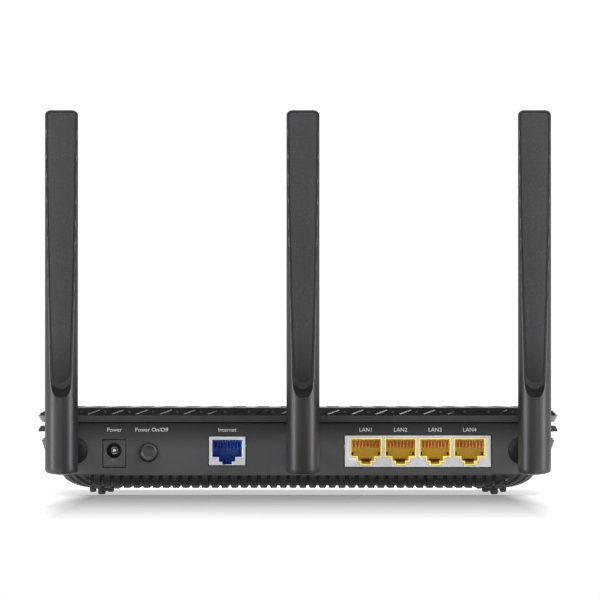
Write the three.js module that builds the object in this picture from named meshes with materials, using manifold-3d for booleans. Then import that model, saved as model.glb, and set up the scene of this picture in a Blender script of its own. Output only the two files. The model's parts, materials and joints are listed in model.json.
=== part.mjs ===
// Wireless router with three hinged antennas, built as separate shells, board parts, sockets, buttons and antennas.
// Millimetres, +Z up. The sockets face -Y, the front faces +Y, and the rubber feet stand on z = 0.
import * as THREE from "three";
import { mergeVertices } from "three/addons/utils/BufferGeometryUtils.js";
import Module from "manifold-3d";

const wasm = await Module();
wasm.setup();

// ---------------------------------------------------------------- driving dimensions

const gap = 0.3; // between pieces that touch or sit in each other
const runningFit = 0.1; // between a shaft and the hole it turns in

// Housing
const bodyWidth = 211; // across the trim band's edge
const bodyDepth = 164; // from the cover's rear edge to the trim band's front edge
const wall = 2.2;
const undersideZ = 2.8; // the case's lowest surface
const floorTopZ = 5.2; // top of the case's floor
const bandFootZ = 7.8; // where the rounded underside meets the upright walls
const shoulderZ = 17.5; // where the side walls bend
const caseLipZ = 22.4; // top of the case's outer wall, under the trim band
const neckTopZ = 29.3; // top of the set-back wall that the cover sits on
const coverFootZ = 29.6;
const coverEdgeZ = 32.2; // height of the cover's sharp outer edge
const coverShoulderZ = 35.1;
const coverTopZ = 35.6;
const coverInsideZ = 33.4;
const trimEdgeZ = 25.7; // height of the trim band's sharp outer edge
const trimTopZ = 28.1;
const trimEndPast = 4.8; // how far the trim band's ends lie outside the outer antennas' axes
const neckInset = 4.6; // how far the neck stands in from the body's outline at the sides and front
const panelSetback = 3; // the rear panel's face, in from the cover's rear edge
const panelThickness = 2;
const panelHalfWidth = 84;
const panelCornerRadius = 8;

// Board
const boardTopZ = 11.1;
const boardThickness = 1.6;
const boardHalfWidth = 90;
const boardRearGap = 1.5; // from the rear panel's inner face to the board's edge
const boardFrontY = 64;
const partZ = boardTopZ + gap; // underside of whatever stands on the board

// Screws and feet
const postX = 80;
const postY = 50;
const screwRadius = 1.15;
const screwHeadRadius = 2.6;
const screwHeadHeight = 1.6;
const screwLength = 21;
const postRadius = 4.4;
const coverBossRadius = 3.6;
const footRadius = 5;
const footPocketDepth = 0.7;

// Network sockets
const socketDepth = 15;
const socketSheet = 0.35;
const lanCentreX = 48.4;
const lanPitch = 13.97;
const lanCount = 4;
const lanShieldMargin = 8.545; // from an outer socket's centre to the shield's side
const lanShieldBottomZ = 11.45;
const lanShieldTopZ = 24.1;
const lanOpeningTopZ = 22.6;
const lanShieldWidth = (lanCount - 1) * lanPitch + 2 * lanShieldMargin;
const wanX = -28.6;
const wanShieldWidth = 14.7;
const wanShieldBottomZ = 12.1;
const wanShieldTopZ = 23.7;
const wanOpeningTopZ = 22.3;
const socketBodyDepth = 17;
const openingWidth = 11.8; // of the plug's main opening
const openingHeight = 6.8;
const collar = 0.6; // rim of a LAN housing that shows round its opening
const contactPitch = 1.02;
const contactCount = 8;

// Power socket, power button and side button
const powerJack = {
  x: -74.2, width: 9, bottomZ: partZ, topZ: 22.3, depth: 14, holeX: -74.4, holeZ: 18, holeRadius: 3.1, holeDepth: 9.5,
};
const powerJackPinRadius = 1.05;
const powerButton = { x: -60.4, z: 17.3, radius: 3.6, proud: 1.5, travel: 2 };
const sideButton = { y: 25, z: 15.5, radius: 2.6, proud: 0.9, travel: 0.8 };

// Status light guide
const guideHalfWidth = 30;
const guideHeight = 1.8;
const guideZ = 16.8;

// Antennas
const tubeRadius = 6.65;
const antennaX = 95.2; // the outer antennas' distance from the middle
const middleAntennaX = 2;
const pivotZ = 18.1;
const pivotToPanel = 12.4;
const antennaBottom = -9.7; // measured from the hinge
const antennaTop = 137;
const bladeCornerRadius = 2.7;
const scoopStart = 21.5; // where the flat face begins above the hinge
const scoopLength = 5;
const scoopDepth = 1.6;
const bladeFaceTop = 1.8; // the face's distance from the tube's axis at the tip
const bladeBackStart = 30;
const bladeBackTop = 3.2; // the back's distance from the tube's axis at the tip
const facePlate = 0.8;
const faceMargin = 0.7;
const faceStart = 27.6;
const tongueHalfWidth = 2.4;
const tongueRadius = 3;
const hingePinRadius = 1.3;
const hingePinLength = 12;
const knuckleRadius = 5.6;
const knucklePlate = 1.7;
const knuckleBridge = 3.6; // half height of the plate under the tongue
const knuckleOffset = 4.7; // the outer antennas' swivel axes stand this much nearer the middle
const swivelRadius = 2.9;
const coaxRadius = 0.7;

// ---------------------------------------------------------------- derived places

const halfWidth = bodyWidth / 2;
const halfDepth = bodyDepth / 2;
const rearFaceY = -halfDepth + panelSetback;
const panelInnerY = rearFaceY + panelThickness;
const hingeY = rearFaceY - pivotToPanel;
const socketFaceY = rearFaceY - gap;
const rearmostY = hingeY - tubeRadius;
const centreY = (rearmostY + halfDepth) / 2; // moved to the origin, with the object standing on z = 0

// ---------------------------------------------------------------- solids from three.js geometry

function solidOf(geometry) {
  const bare = geometry.index ? geometry.toNonIndexed() : geometry.clone();
  bare.deleteAttribute("normal");
  bare.deleteAttribute("uv");
  const merged = mergeVertices(bare, 1e-4);
  const vertProperties = new Float32Array(merged.attributes.position.array);
  const triVerts = new Uint32Array(merged.index.array);
  return new wasm.Manifold(new wasm.Mesh({ numProp: 3, vertProperties, triVerts }));
}

function geometryOf(solid) {
  const mesh = solid.getMesh();
  const geometry = new THREE.BufferGeometry();
  geometry.setAttribute("position", new THREE.BufferAttribute(new Float32Array(mesh.vertProperties), 3));
  geometry.setIndex(new THREE.BufferAttribute(new Uint32Array(mesh.triVerts), 1));
  const flat = geometry.toNonIndexed();
  flat.computeVertexNormals();
  return flat;
}

function box(x0, x1, y0, y1, z0, z1) {
  const geometry = new THREE.BoxGeometry(x1 - x0, y1 - y0, z1 - z0);
  return solidOf(geometry.translate((x0 + x1) / 2, (y0 + y1) / 2, (z0 + z1) / 2));
}

// A cylinder along "x", "y" or "z", from one value to another on that axis, centred at (a, b) on the other two.
function rod(axis, radius, from, to, a, b, sides = 20) {
  const geometry = new THREE.CylinderGeometry(radius, radius, to - from, sides);
  const middle = (from + to) / 2;
  if (axis === "x") return solidOf(geometry.rotateZ(-Math.PI / 2).translate(middle, a, b));
  if (axis === "y") return solidOf(geometry.translate(a, middle, b));
  return solidOf(geometry.rotateX(Math.PI / 2).translate(a, b, middle));
}

// A closed body through rings of points, each ring anticlockwise seen from above and higher than the last.
function loft(rings) {
  const count = rings[0].length;
  const positions = rings.flat().flatMap((p) => [p.x, p.y, p.z]);
  const index = [];
  for (let k = 0; k + 1 < rings.length; k++) {
    for (let i = 0; i < count; i++) {
      const j = (i + 1) % count;
      const low = k * count;
      const high = low + count;
      index.push(low + i, low + j, high + j, low + i, high + j, high + i);
    }
  }
  const last = (rings.length - 1) * count;
  for (let i = 1; i + 1 < count; i++) {
    index.push(0, i + 1, i);
    index.push(last, last + i, last + i + 1);
  }
  const geometry = new THREE.BufferGeometry();
  geometry.setAttribute("position", new THREE.Float32BufferAttribute(positions, 3));
  geometry.setIndex(index);
  return solidOf(geometry);
}

// A flat shape drawn in X and Z, thickened from y0 to y1.
function rearPlate(shape, y0, y1, curveSegments = 6) {
  const geometry = new THREE.ExtrudeGeometry(shape, { depth: y1 - y0, bevelEnabled: false, curveSegments });
  return solidOf(geometry.rotateX(Math.PI / 2).translate(0, y1, 0));
}

// A flat shape drawn in Y and Z, thickened from x0 to x1.
function sidePlate(shape, x0, x1, curveSegments = 6) {
  const geometry = new THREE.ExtrudeGeometry(shape, { depth: x1 - x0, bevelEnabled: false, curveSegments });
  const turn = new THREE.Matrix4().makeBasis(
    new THREE.Vector3(0, 1, 0),
    new THREE.Vector3(0, 0, 1),
    new THREE.Vector3(1, 0, 0),
  );
  return solidOf(geometry.applyMatrix4(turn).translate(x0, 0, 0));
}

function polygon(points) {
  return new THREE.Shape(points.map(([a, b]) => new THREE.Vector2(a, b)));
}

function roundedRectangle(x0, x1, z0, z1, lowRadius, highRadius = lowRadius) {
  const shape = new THREE.Shape();
  shape.moveTo(x0 + lowRadius, z0);
  shape.lineTo(x1 - lowRadius, z0);
  if (lowRadius) shape.absarc(x1 - lowRadius, z0 + lowRadius, lowRadius, -Math.PI / 2, 0, false);
  shape.lineTo(x1, z1 - highRadius);
  if (highRadius) shape.absarc(x1 - highRadius, z1 - highRadius, highRadius, 0, Math.PI / 2, false);
  shape.lineTo(x0 + highRadius, z1);
  if (highRadius) shape.absarc(x0 + highRadius, z1 - highRadius, highRadius, Math.PI / 2, Math.PI, false);
  shape.lineTo(x0, z0 + lowRadius);
  if (lowRadius) shape.absarc(x0 + lowRadius, z0 + lowRadius, lowRadius, Math.PI, 1.5 * Math.PI, false);
  return shape;
}

function sum(solids) {
  return solids.reduce((all, next) => all.add(next));
}

// ---------------------------------------------------------------- the housing's outline

// One ring of the housing at a height: insets are from the body's full outline, and rear is a Y value.
function ring(z, sideInset, frontInset, rear, radius, segments = 6) {
  const x = halfWidth - sideInset;
  const front = halfDepth - frontInset;
  const centres = [
    [x - radius, rear + radius, -Math.PI / 2],
    [x - radius, front - radius, 0],
    [-x + radius, front - radius, Math.PI / 2],
    [-x + radius, rear + radius, Math.PI],
  ];
  return centres.flatMap(([cx, cy, start]) =>
    Array.from({ length: segments + 1 }, (_, i) => {
      const angle = start + (i / segments) * (Math.PI / 2);
      return new THREE.Vector3(cx + radius * Math.cos(angle), cy + radius * Math.sin(angle), z);
    }),
  );
}

// The case's inset from the outline at a height: an underside that rounds in, then two straight slopes.
const undersideSteps = [0, 0.36, 0.64, 0.88, 1]; // share of the fall from the upright wall to the flat underside
const sideReach = [0, 1.6, 4.1, 7.4, 11.5]; // how far in the sides and front have run at each of those
const rearReach = [0, 0.8, 2.5, 5, 8];
const footInset = 10.2;
const shoulderInset = 3.1;
const lipInset = 1.4;

function undersideCurve(z, reach) {
  const fall = Math.min(1, Math.max(0, (bandFootZ - z) / (bandFootZ - undersideZ)));
  const k = Math.max(1, undersideSteps.findIndex((step) => fall <= step));
  return THREE.MathUtils.mapLinear(fall, undersideSteps[k - 1], undersideSteps[k], reach[k - 1], reach[k]);
}

function caseInset(z) {
  if (z < bandFootZ) return footInset + undersideCurve(z, sideReach);
  if (z < shoulderZ) return THREE.MathUtils.mapLinear(z, bandFootZ, shoulderZ, footInset, shoulderInset);
  return THREE.MathUtils.mapLinear(z, shoulderZ, caseLipZ, shoulderInset, lipInset);
}

const cornerRadius = 10;

function caseRing(z, inward = 0) {
  const inset = caseInset(z) + inward;
  const rear = rearFaceY + undersideCurve(z, rearReach) + inward;
  return ring(z, inset, inset, rear, cornerRadius - inward);
}

function neckRing(z, inward = 0) {
  const inset = neckInset + inward;
  return ring(z, inset, inset, rearFaceY + inward, cornerRadius - inward);
}

const undersideHeights = undersideSteps.map((step) => bandFootZ - step * (bandFootZ - undersideZ)).reverse();
const postPlaces = [-1, 1].flatMap((sx) => [-1, 1].map((sy) => [sx * postX, sy * postY]));

// ---------------------------------------------------------------- housing pieces

function panelOutline(clearance) {
  const x = panelHalfWidth + clearance;
  const radius = panelCornerRadius + clearance;
  return roundedRectangle(-x, x, bandFootZ + gap - clearance, neckTopZ + clearance, radius, 0);
}

function bottomCase() {
  const outside = loft([
    ...undersideHeights.map((z) => caseRing(z)),
    caseRing(shoulderZ),
    caseRing(caseLipZ),
    neckRing(caseLipZ + 0.01),
    neckRing(neckTopZ),
  ]);
  const inside = loft([
    caseRing(floorTopZ, wall),
    caseRing((floorTopZ + bandFootZ) / 2, wall),
    caseRing(bandFootZ, wall),
    caseRing(shoulderZ, wall),
    neckRing(caseLipZ - wall, wall),
    neckRing(neckTopZ + 1, wall),
  ]);
  const panelOpening = rearPlate(panelOutline(gap), rearFaceY - 1, rearFaceY + neckInset + wall + 1);
  const posts = sum(postPlaces.map(([x, y]) => rod("z", postRadius, floorTopZ - 1, boardTopZ - boardThickness - gap, x, y)));
  const holes = sum(postPlaces.flatMap(([x, y]) => [
    rod("z", footRadius + gap, undersideZ - 1, undersideZ + footPocketDepth, x, y, 24),
    rod("z", screwHeadRadius + gap, undersideZ, undersideZ + footPocketDepth + gap + screwHeadHeight + gap, x, y),
    rod("z", screwRadius + gap, undersideZ, boardTopZ, x, y, 16),
  ]));
  const lightSlot = box(
    -guideHalfWidth - gap, guideHalfWidth + gap, halfDepth - 12, halfDepth + 1, guideZ - gap, guideZ + guideHeight + gap,
  );
  const sideHole = rod("x", sideButton.radius + gap, halfWidth - 20, halfWidth + 1, sideButton.y, sideButton.z);
  const swivelHoles = sum(antennas.map((a) => swivelHole(a.x + a.offset)));
  return outside.subtract(inside).add(posts).subtract(panelOpening).subtract(holes)
    .subtract(lightSlot).subtract(sideHole).subtract(swivelHoles).subtract(ventSlots());
}

const ventPitch = 8.12;
const ventWidth = 2;
const ventLength = 24;
const ventColumns = 13;

function ventSlots() {
  const slots = [];
  for (let i = 0; i < ventColumns; i++) {
    const x = (i - (ventColumns - 1) / 2) * ventPitch;
    for (const y of [-ventLength - 4, 4]) {
      slots.push(box(x - ventWidth / 2, x + ventWidth / 2, y, y + ventLength, undersideZ - 1, floorTopZ + 1));
    }
  }
  return sum(slots);
}

function topCover() {
  const coverRing = (z, inset, radius) => ring(z, inset, inset, -halfDepth + inset, radius);
  const outside = loft([
    coverRing(coverFootZ, 1.6, 12),
    coverRing(coverEdgeZ, 0.2, 13),
    coverRing(coverShoulderZ, 4.8, 10),
    coverRing(coverTopZ, 9, 8),
  ]);
  const inside = loft([
    coverRing(coverFootZ - 1, neckInset + wall, 8),
    coverRing(coverInsideZ, neckInset + wall + 1, 7),
  ]);
  const bosses = sum(postPlaces.map(([x, y]) => rod("z", coverBossRadius, partZ, coverInsideZ + 1, x, y)));
  const pilots = sum(postPlaces.map(([x, y]) => rod("z", screwRadius + gap, partZ - 1, screwTopZ + 1, x, y, 16)));
  return outside.subtract(inside).add(bosses).subtract(pilots);
}

function trimBand() {
  const bandRing = (z, inset) => ring(z, inset, inset, rearFaceY - 1.2 + inset, cornerRadius + 2);
  const outside = loft([
    bandRing(caseLipZ + gap, lipInset),
    bandRing(trimEdgeZ, 0),
    bandRing(trimTopZ, 1.1),
  ]);
  const inside = loft([neckRing(caseLipZ, -gap), neckRing(trimTopZ + 1, -gap)]);
  const rearOpening = box(
    -antennaX - trimEndPast, antennaX + trimEndPast, -halfDepth - 1, -halfDepth + 20, caseLipZ, trimTopZ + 1,
  );
  return outside.subtract(inside).subtract(rearOpening);
}

function swivelHole(x) {
  return rod("y", swivelRadius + runningFit, rearFaceY - 1, panelInnerY + 2, x, pivotZ, 24);
}

function rearPanel() {
  const plate = rearPlate(panelOutline(0), rearFaceY, panelInnerY);
  const window = (x0, x1, z0, z1) => box(x0 - gap, x1 + gap, rearFaceY - 1, panelInnerY + 1, z0 - gap, z1 + gap);
  const lanHalf = lanShieldWidth / 2;
  const openings = [
    window(lanCentreX - lanHalf, lanCentreX + lanHalf, lanShieldBottomZ, lanShieldTopZ),
    window(wanX - wanShieldWidth / 2, wanX + wanShieldWidth / 2, wanShieldBottomZ, wanShieldTopZ),
    window(powerJack.x - powerJack.width / 2, powerJack.x + powerJack.width / 2, powerJack.bottomZ, powerJack.topZ),
    rod("y", powerButton.radius + gap, rearFaceY - 1, panelInnerY + 1, powerButton.x, powerButton.z, 24),
    swivelHole(middleAntennaX),
  ];
  return plate.subtract(sum(openings));
}

function lightGuide() {
  const outerY = halfDepth - caseInset(guideZ + guideHeight / 2) + gap;
  const legY = 57;
  const shape = polygon([
    [legY, partZ + 2],
    [legY + 3, partZ + 2],
    [legY + 3, guideZ],
    [outerY, guideZ],
    [outerY, guideZ + guideHeight],
    [legY, guideZ + guideHeight],
  ]);
  return sidePlate(shape, -guideHalfWidth, guideHalfWidth);
}

// ---------------------------------------------------------------- feet and screws

const footTopZ = undersideZ + footPocketDepth - gap;
const screwHeadZ = undersideZ + footPocketDepth + gap;
const screwTopZ = screwHeadZ + screwLength;

// A round rubber foot with a narrower sole: a turned profile.
function foot(x, y) {
  const sole = footRadius - 0.8;
  const profile = [[0, 0], [sole, 0], [footRadius, 1.2], [footRadius, footTopZ], [0, footTopZ]];
  const geometry = new THREE.LatheGeometry(profile.map(([r, h]) => new THREE.Vector2(r, h)), 24);
  return solidOf(geometry.rotateX(Math.PI / 2).translate(x, y, 0));
}

function screw(x, y) {
  const head = rod("z", screwHeadRadius, screwHeadZ, screwHeadZ + screwHeadHeight, x, y);
  const shank = rod("z", screwRadius, screwHeadZ + 1, screwTopZ, x, y, 12);
  const slot = (w, d) => box(x - w, x + w, y - d, y + d, screwHeadZ - 1, screwHeadZ + 0.9);
  return head.add(shank).subtract(slot(1.5, 0.3)).subtract(slot(0.3, 1.5));
}

// ---------------------------------------------------------------- board and what stands on it

function mainBoard() {
  const bottom = boardTopZ - boardThickness;
  const board = box(-boardHalfWidth, boardHalfWidth, panelInnerY + boardRearGap, boardFrontY, bottom, boardTopZ);
  const holes = sum(postPlaces.map(([x, y]) => rod("z", screwRadius + 2 * gap, bottom - 1, boardTopZ + 1, x, y, 16)));
  return board.subtract(holes);
}

const processorHalf = 9;
const processorHeight = 1.4;
const processorX = 8;

function processor() {
  const h = processorHalf;
  return box(processorX - h, processorX + h, -h, h, partZ, partZ + processorHeight);
}

function heatSink() {
  const half = 20;
  const base = partZ + processorHeight + gap;
  const fins = 9;
  const block = box(processorX - half, processorX + half, -half, half, base, base + 9);
  const pitch = (2 * half) / fins;
  const slots = Array.from({ length: fins - 1 }, (_, i) => {
    const x = processorX - half + (i + 1) * pitch;
    return box(x - 1.4, x + 1.4, -half - 1, half + 1, base + 2.2, base + 10);
  });
  return block.subtract(sum(slots));
}

// A pressed metal can over a radio, open underneath.
function radioShield(x) {
  const can = box(x - 17, x + 17, 4, 30, partZ, partZ + 3);
  return can.subtract(box(x - 16.6, x + 16.6, 4.4, 29.6, partZ - 1, partZ + 2.6));
}

function transformer(x, width) {
  const block = box(x - width / 2, x + width / 2, -56, -48, partZ, partZ + 5.4);
  return block.subtract(box(x - width / 2 - 1, x + width / 2 + 1, -52.4, -51.6, partZ + 5, partZ + 6));
}

function statusLeds() {
  const count = 7;
  const strip = box(-guideHalfWidth + 2, guideHalfWidth - 2, 57, 60, partZ, partZ + 0.6);
  const lamps = Array.from({ length: count }, (_, i) => {
    const x = (i - (count - 1) / 2) * 8;
    return box(x - 0.9, x + 0.9, 57.9, 59.1, partZ + 0.5, partZ + 1.4);
  });
  return strip.add(sum(lamps));
}

// ---------------------------------------------------------------- network sockets

// The stepped opening of a network socket, grown all round by a rim.
function socketOutline(x, topZ, grow) {
  const half = openingWidth / 2 + grow;
  const middle = 3.25 + grow;
  const tail = 1.85 + grow;
  const floor = topZ - openingHeight - grow;
  const right = [
    [half, topZ + grow],
    [half, floor],
    [middle, floor],
    [middle, floor - 1.9],
    [tail, floor - 1.9],
    [tail, floor - 3.2],
  ];
  const left = right.map(([a, z]) => [-a, z]).reverse();
  return polygon([...right, ...left].reverse().map(([a, z]) => [x + a, z]));
}

function shieldBox(x, width, bottomZ, topZ, openings) {
  const rear = socketFaceY + socketBodyDepth + socketSheet + 2 * gap;
  const outside = box(x - width / 2, x + width / 2, socketFaceY, rear, bottomZ, topZ);
  const s = socketSheet;
  const inside = box(x - width / 2 + s, x + width / 2 - s, socketFaceY + s, rear + 1, bottomZ + s, topZ - s);
  return outside.subtract(inside).subtract(sum(openings));
}

function socketHousing(x, width, bottomZ, topZ, openingTopZ, rim) {
  const front = socketFaceY + socketSheet + 0.2;
  const block = box(x - width / 2, x + width / 2, front, socketFaceY + socketBodyDepth, bottomZ, topZ);
  const nose = rearPlate(socketOutline(x, openingTopZ, rim), socketFaceY + 0.05, front + 1);
  const hollow = rearPlate(socketOutline(x, openingTopZ, 0), socketFaceY - 1, socketFaceY + socketDepth);
  return (rim ? block.add(nose) : block).subtract(hollow);
}

// Eight sprung wires on one carrier at the back of the socket, sloping down towards it.
function socketContacts(x, openingTopZ) {
  const back = socketFaceY + socketDepth - gap;
  const length = 10.5;
  const slope = THREE.MathUtils.degToRad(-6);
  const wires = Array.from({ length: contactCount }, (_, i) => {
    const at = x + (i - (contactCount - 1) / 2) * contactPitch;
    const wire = new THREE.BoxGeometry(0.45, length, 0.35).rotateX(slope);
    return solidOf(wire.translate(at, back - length / 2 - 0.3, openingTopZ - 0.95));
  });
  const half = (contactCount * contactPitch) / 2;
  return sum(wires).add(box(x - half, x + half, back - 0.9, back, openingTopZ - 1.7, openingTopZ - 0.2));
}

const lanSockets = Array.from({ length: lanCount }, (_, i) => ({
  number: i + 1,
  x: lanCentreX + (i - (lanCount - 1) / 2) * lanPitch,
}));

function lanShield() {
  const openings = lanSockets.map(({ x }) =>
    rearPlate(socketOutline(x, lanOpeningTopZ, collar + 0.15), socketFaceY - 1, socketFaceY + 1));
  return shieldBox(lanCentreX, lanShieldWidth, lanShieldBottomZ, lanShieldTopZ, openings);
}

function wanShield() {
  const opening = rearPlate(socketOutline(wanX, wanOpeningTopZ, 0.1), socketFaceY - 1, socketFaceY + 1);
  const half = wanShieldWidth / 2;
  const can = shieldBox(wanX, wanShieldWidth, wanShieldBottomZ, wanShieldTopZ, [opening]);
  const legs = [-half + 0.6, half - 0.6].map((dx) =>
    box(wanX + dx - 0.6, wanX + dx + 0.6, socketFaceY + 8, socketFaceY + 10, partZ, wanShieldBottomZ + 0.2));
  return can.add(sum(legs));
}

// ---------------------------------------------------------------- power socket, switches and buttons

function powerSocket() {
  const { x, width, bottomZ, topZ, depth, holeX, holeZ, holeRadius, holeDepth } = powerJack;
  const body = box(x - width / 2, x + width / 2, rearFaceY, rearFaceY + depth, bottomZ, topZ);
  const hole = rod("y", holeRadius, rearFaceY - 1, rearFaceY + holeDepth, holeX, holeZ, 24);
  const pinSeat = rod("y", powerJackPinRadius + gap, rearFaceY, rearFaceY + depth + 1, holeX, holeZ, 12);
  return body.subtract(hole).subtract(pinSeat);
}

function powerSocketPin() {
  const { holeX, holeZ, depth } = powerJack;
  return rod("y", powerJackPinRadius, rearFaceY + 0.9, rearFaceY + depth, holeX, holeZ, 12);
}

const buttonFlangeY = panelInnerY + gap;
const buttonStemEnd = buttonFlangeY + 8;

function powerButtonCap() {
  const { x, z, radius, proud } = powerButton;
  const cap = rod("y", radius, rearFaceY - proud, buttonFlangeY + 0.2, x, z, 24);
  const flange = rod("y", radius + 0.9, buttonFlangeY, buttonFlangeY + 0.9, x, z, 24);
  const stem = rod("y", 1.5, buttonFlangeY + 0.5, buttonStemEnd, x, z, 12);
  const dish = rod("y", radius - 1, rearFaceY - proud - 1, rearFaceY - proud + 0.3, x, z, 24);
  return sum([cap, flange, stem]).subtract(dish);
}

function powerSwitch() {
  const { x, z, travel } = powerButton;
  const front = buttonStemEnd + travel + gap;
  return box(x - 4, x + 4, front, front + 9, partZ, z + 2.4);
}

const sideStemEnd = boardHalfWidth + 2.4;

function sideButtonCap() {
  const { y, z, radius, proud } = sideButton;
  const tip = halfWidth - caseInset(z) + proud;
  const flangeX = halfWidth - caseInset(z - radius - 1) - wall - 1.6;
  const cap = rod("x", radius, flangeX, tip, y, z);
  const flange = rod("x", radius + 0.8, flangeX - 0.8, flangeX + 0.1, y, z);
  const stem = rod("x", 1.4, sideStemEnd, flangeX, y, z, 12);
  return sum([cap, flange, stem]);
}

function sideSwitch() {
  const { y, z, travel } = sideButton;
  const face = sideStemEnd - travel - gap;
  return box(face - 6, face, y - 3, y + 3, partZ, z + 2);
}

// ---------------------------------------------------------------- antennas, drawn round their hinge

const bladeLength = antennaTop - scoopStart - scoopLength;
const faceAtFoot = tubeRadius - scoopDepth;

// The side view of everything in front of the blade's face, set back by a depth.
function frontOfFace(depth) {
  const shape = new THREE.Shape();
  const top = antennaTop + 1;
  const slope = (faceAtFoot - bladeFaceTop) / bladeLength;
  const bend = scoopStart + scoopLength;
  shape.moveTo(-tubeRadius - 1, scoopStart);
  shape.lineTo(-tubeRadius + depth, scoopStart);
  shape.absellipse(-tubeRadius + depth, bend, scoopDepth, scoopLength, -Math.PI / 2, 0, false);
  shape.lineTo(-faceAtFoot + depth + slope * (top - bend), top);
  shape.lineTo(-tubeRadius - 1, top);
  return sidePlate(shape, -tubeRadius - 1, tubeRadius + 1, 5);
}

function facePocket(clearance) {
  const margin = faceMargin - clearance;
  const outline = roundedRectangle(
    -tubeRadius + margin, tubeRadius - margin, faceStart - clearance, antennaTop - margin - 0.3, 3.2, 2.1,
  );
  const round = rod("z", tubeRadius - margin, faceStart - 1, antennaTop, 0, 0, 32);
  return rearPlate(outline, -tubeRadius, tubeRadius, 4).intersect(round);
}

function bladeFace() {
  return facePocket(0).subtract(frontOfFace(0)).intersect(frontOfFace(facePlate));
}

function bladeShell() {
  const tube = rod("z", tubeRadius, antennaBottom, antennaTop, 0, 0, 32);
  const outline = roundedRectangle(-tubeRadius, tubeRadius, antennaBottom, antennaTop, 0, bladeCornerRadius);
  const back = polygon([
    [tubeRadius, bladeBackStart],
    [tubeRadius + 1, bladeBackStart],
    [tubeRadius + 1, antennaTop + 1],
    [bladeBackTop, antennaTop + 1],
  ]);
  const heel = polygon([
    [-tubeRadius - 1, antennaBottom - 1],
    [tubeRadius + 1, antennaBottom - 1],
    [tubeRadius + 1, antennaBottom + 2.4],
    [-tubeRadius, antennaBottom],
    [-tubeRadius - 1, antennaBottom],
  ]);
  const wide = tubeRadius + 1;
  const hingeSlot = box(
    -tongueHalfWidth - gap, tongueHalfWidth + gap, -tongueRadius - gap, wide, antennaBottom - 1, tongueRadius + gap,
  );
  const pocket = facePocket(gap).intersect(frontOfFace(facePlate + gap));
  const cavity = box(-4.2, 4.2, -tubeRadius + scoopDepth, 0.8, 32, 132);
  const channel = rod("z", 1.3, tongueRadius, 33, 0, -0.5, 12);
  const pinHole = rod("x", hingePinRadius + runningFit, -wide, wide, 0, 0, 16);
  return tube.intersect(rearPlate(outline, -wide, wide, 4))
    .subtract(frontOfFace(0)).subtract(sidePlate(back, -wide, wide)).subtract(sidePlate(heel, -wide, wide))
    .subtract(hingeSlot).subtract(pocket).subtract(cavity).subtract(channel).subtract(pinHole);
}

function radiator() {
  const strip = box(-3.6, 3.6, -0.5, 0.3, 33, 130);
  return strip.subtract(box(-0.6, 0.6, -1, 1, 60, 131));
}

function hingePin() {
  return rod("x", hingePinRadius, -hingePinLength / 2, hingePinLength / 2, 0, 0, 16);
}

function knuckle(offset) {
  const plateY = pivotToPanel - gap - knucklePlate;
  const tongue = box(-tongueHalfWidth, tongueHalfWidth, 0, plateY + 0.5, -tongueRadius, tongueRadius)
    .add(rod("x", tongueRadius, -tongueHalfWidth, tongueHalfWidth, 0, 0, 20));
  const plate = [
    rod("y", knuckleRadius, plateY, plateY + knucklePlate, offset, 0, 32),
    rod("y", knuckleBridge, plateY, plateY + knucklePlate, 0, 0, 24),
    box(Math.min(0, offset) - 0.01, Math.max(0, offset) + 0.01, plateY, plateY + knucklePlate, -knuckleBridge, knuckleBridge),
  ];
  const shaft = rod("y", swivelRadius, plateY + 1, swivelEnd, offset, 0, 20);
  const bore = rod("y", coaxRadius + 0.5, plateY + knucklePlate, swivelEnd + 1, offset, 0, 12);
  const pinHole = rod("x", hingePinRadius + runningFit, -tubeRadius, tubeRadius, 0, 0, 16);
  return tongue.add(sum(plate)).add(shaft).subtract(bore).subtract(pinHole);
}

const swivelEnd = pivotToPanel + wall + 3.8;
const nutThickness = 2;

function swivelNut(offset) {
  const near = pivotToPanel + wall + gap + 0.5;
  return rod("y", swivelRadius + 1.3, near, near + nutThickness, offset, 0, 6)
    .subtract(rod("y", swivelRadius + 0.2, near - 1, near + nutThickness + 1, offset, 0, 20));
}

const antennas = [
  { name: "left", x: -antennaX, offset: knuckleOffset },
  { name: "middle", x: middleAntennaX, offset: 0 },
  { name: "right", x: antennaX, offset: -knuckleOffset },
];

// The lead of each antenna inside the housing, from its swivel's bore forwards over the board to a radio.
function coaxRoute({ x, offset }) {
  const from = x + offset;
  const start = hingeY + swivelEnd - 2;
  if (offset === 0) {
    return [
      [from, start, pivotZ], [from, start + 7, pivotZ - 0.4], [from - 4, -56, 16], [from - 14, -44, 14.4],
      [from - 26, -28, 13.8], [from - 36, -10, 13.7], [from - 44, 0, 13.6],
    ];
  }
  const side = Math.sign(from);
  return [
    [from, start, pivotZ], [from, start + 7, pivotZ - 0.4], [side * 91, -56, 15.6], [side * 90, -38, 14.4],
    [side * 84, -18, 14.2], [side * 76, -4, 13.8], [side * 71.5, 4, 13.6],
  ];
}

function coaxLead(points) {
  const path = new THREE.CatmullRomCurve3(points.map((p) => new THREE.Vector3(...p)));
  const section = new THREE.Shape().absarc(0, 0, coaxRadius, 0, 2 * Math.PI, false);
  return new THREE.ExtrudeGeometry(section, { steps: 14, extrudePath: path, bevelEnabled: false, curveSegments: 6 });
}

// ---------------------------------------------------------------- materials

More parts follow.
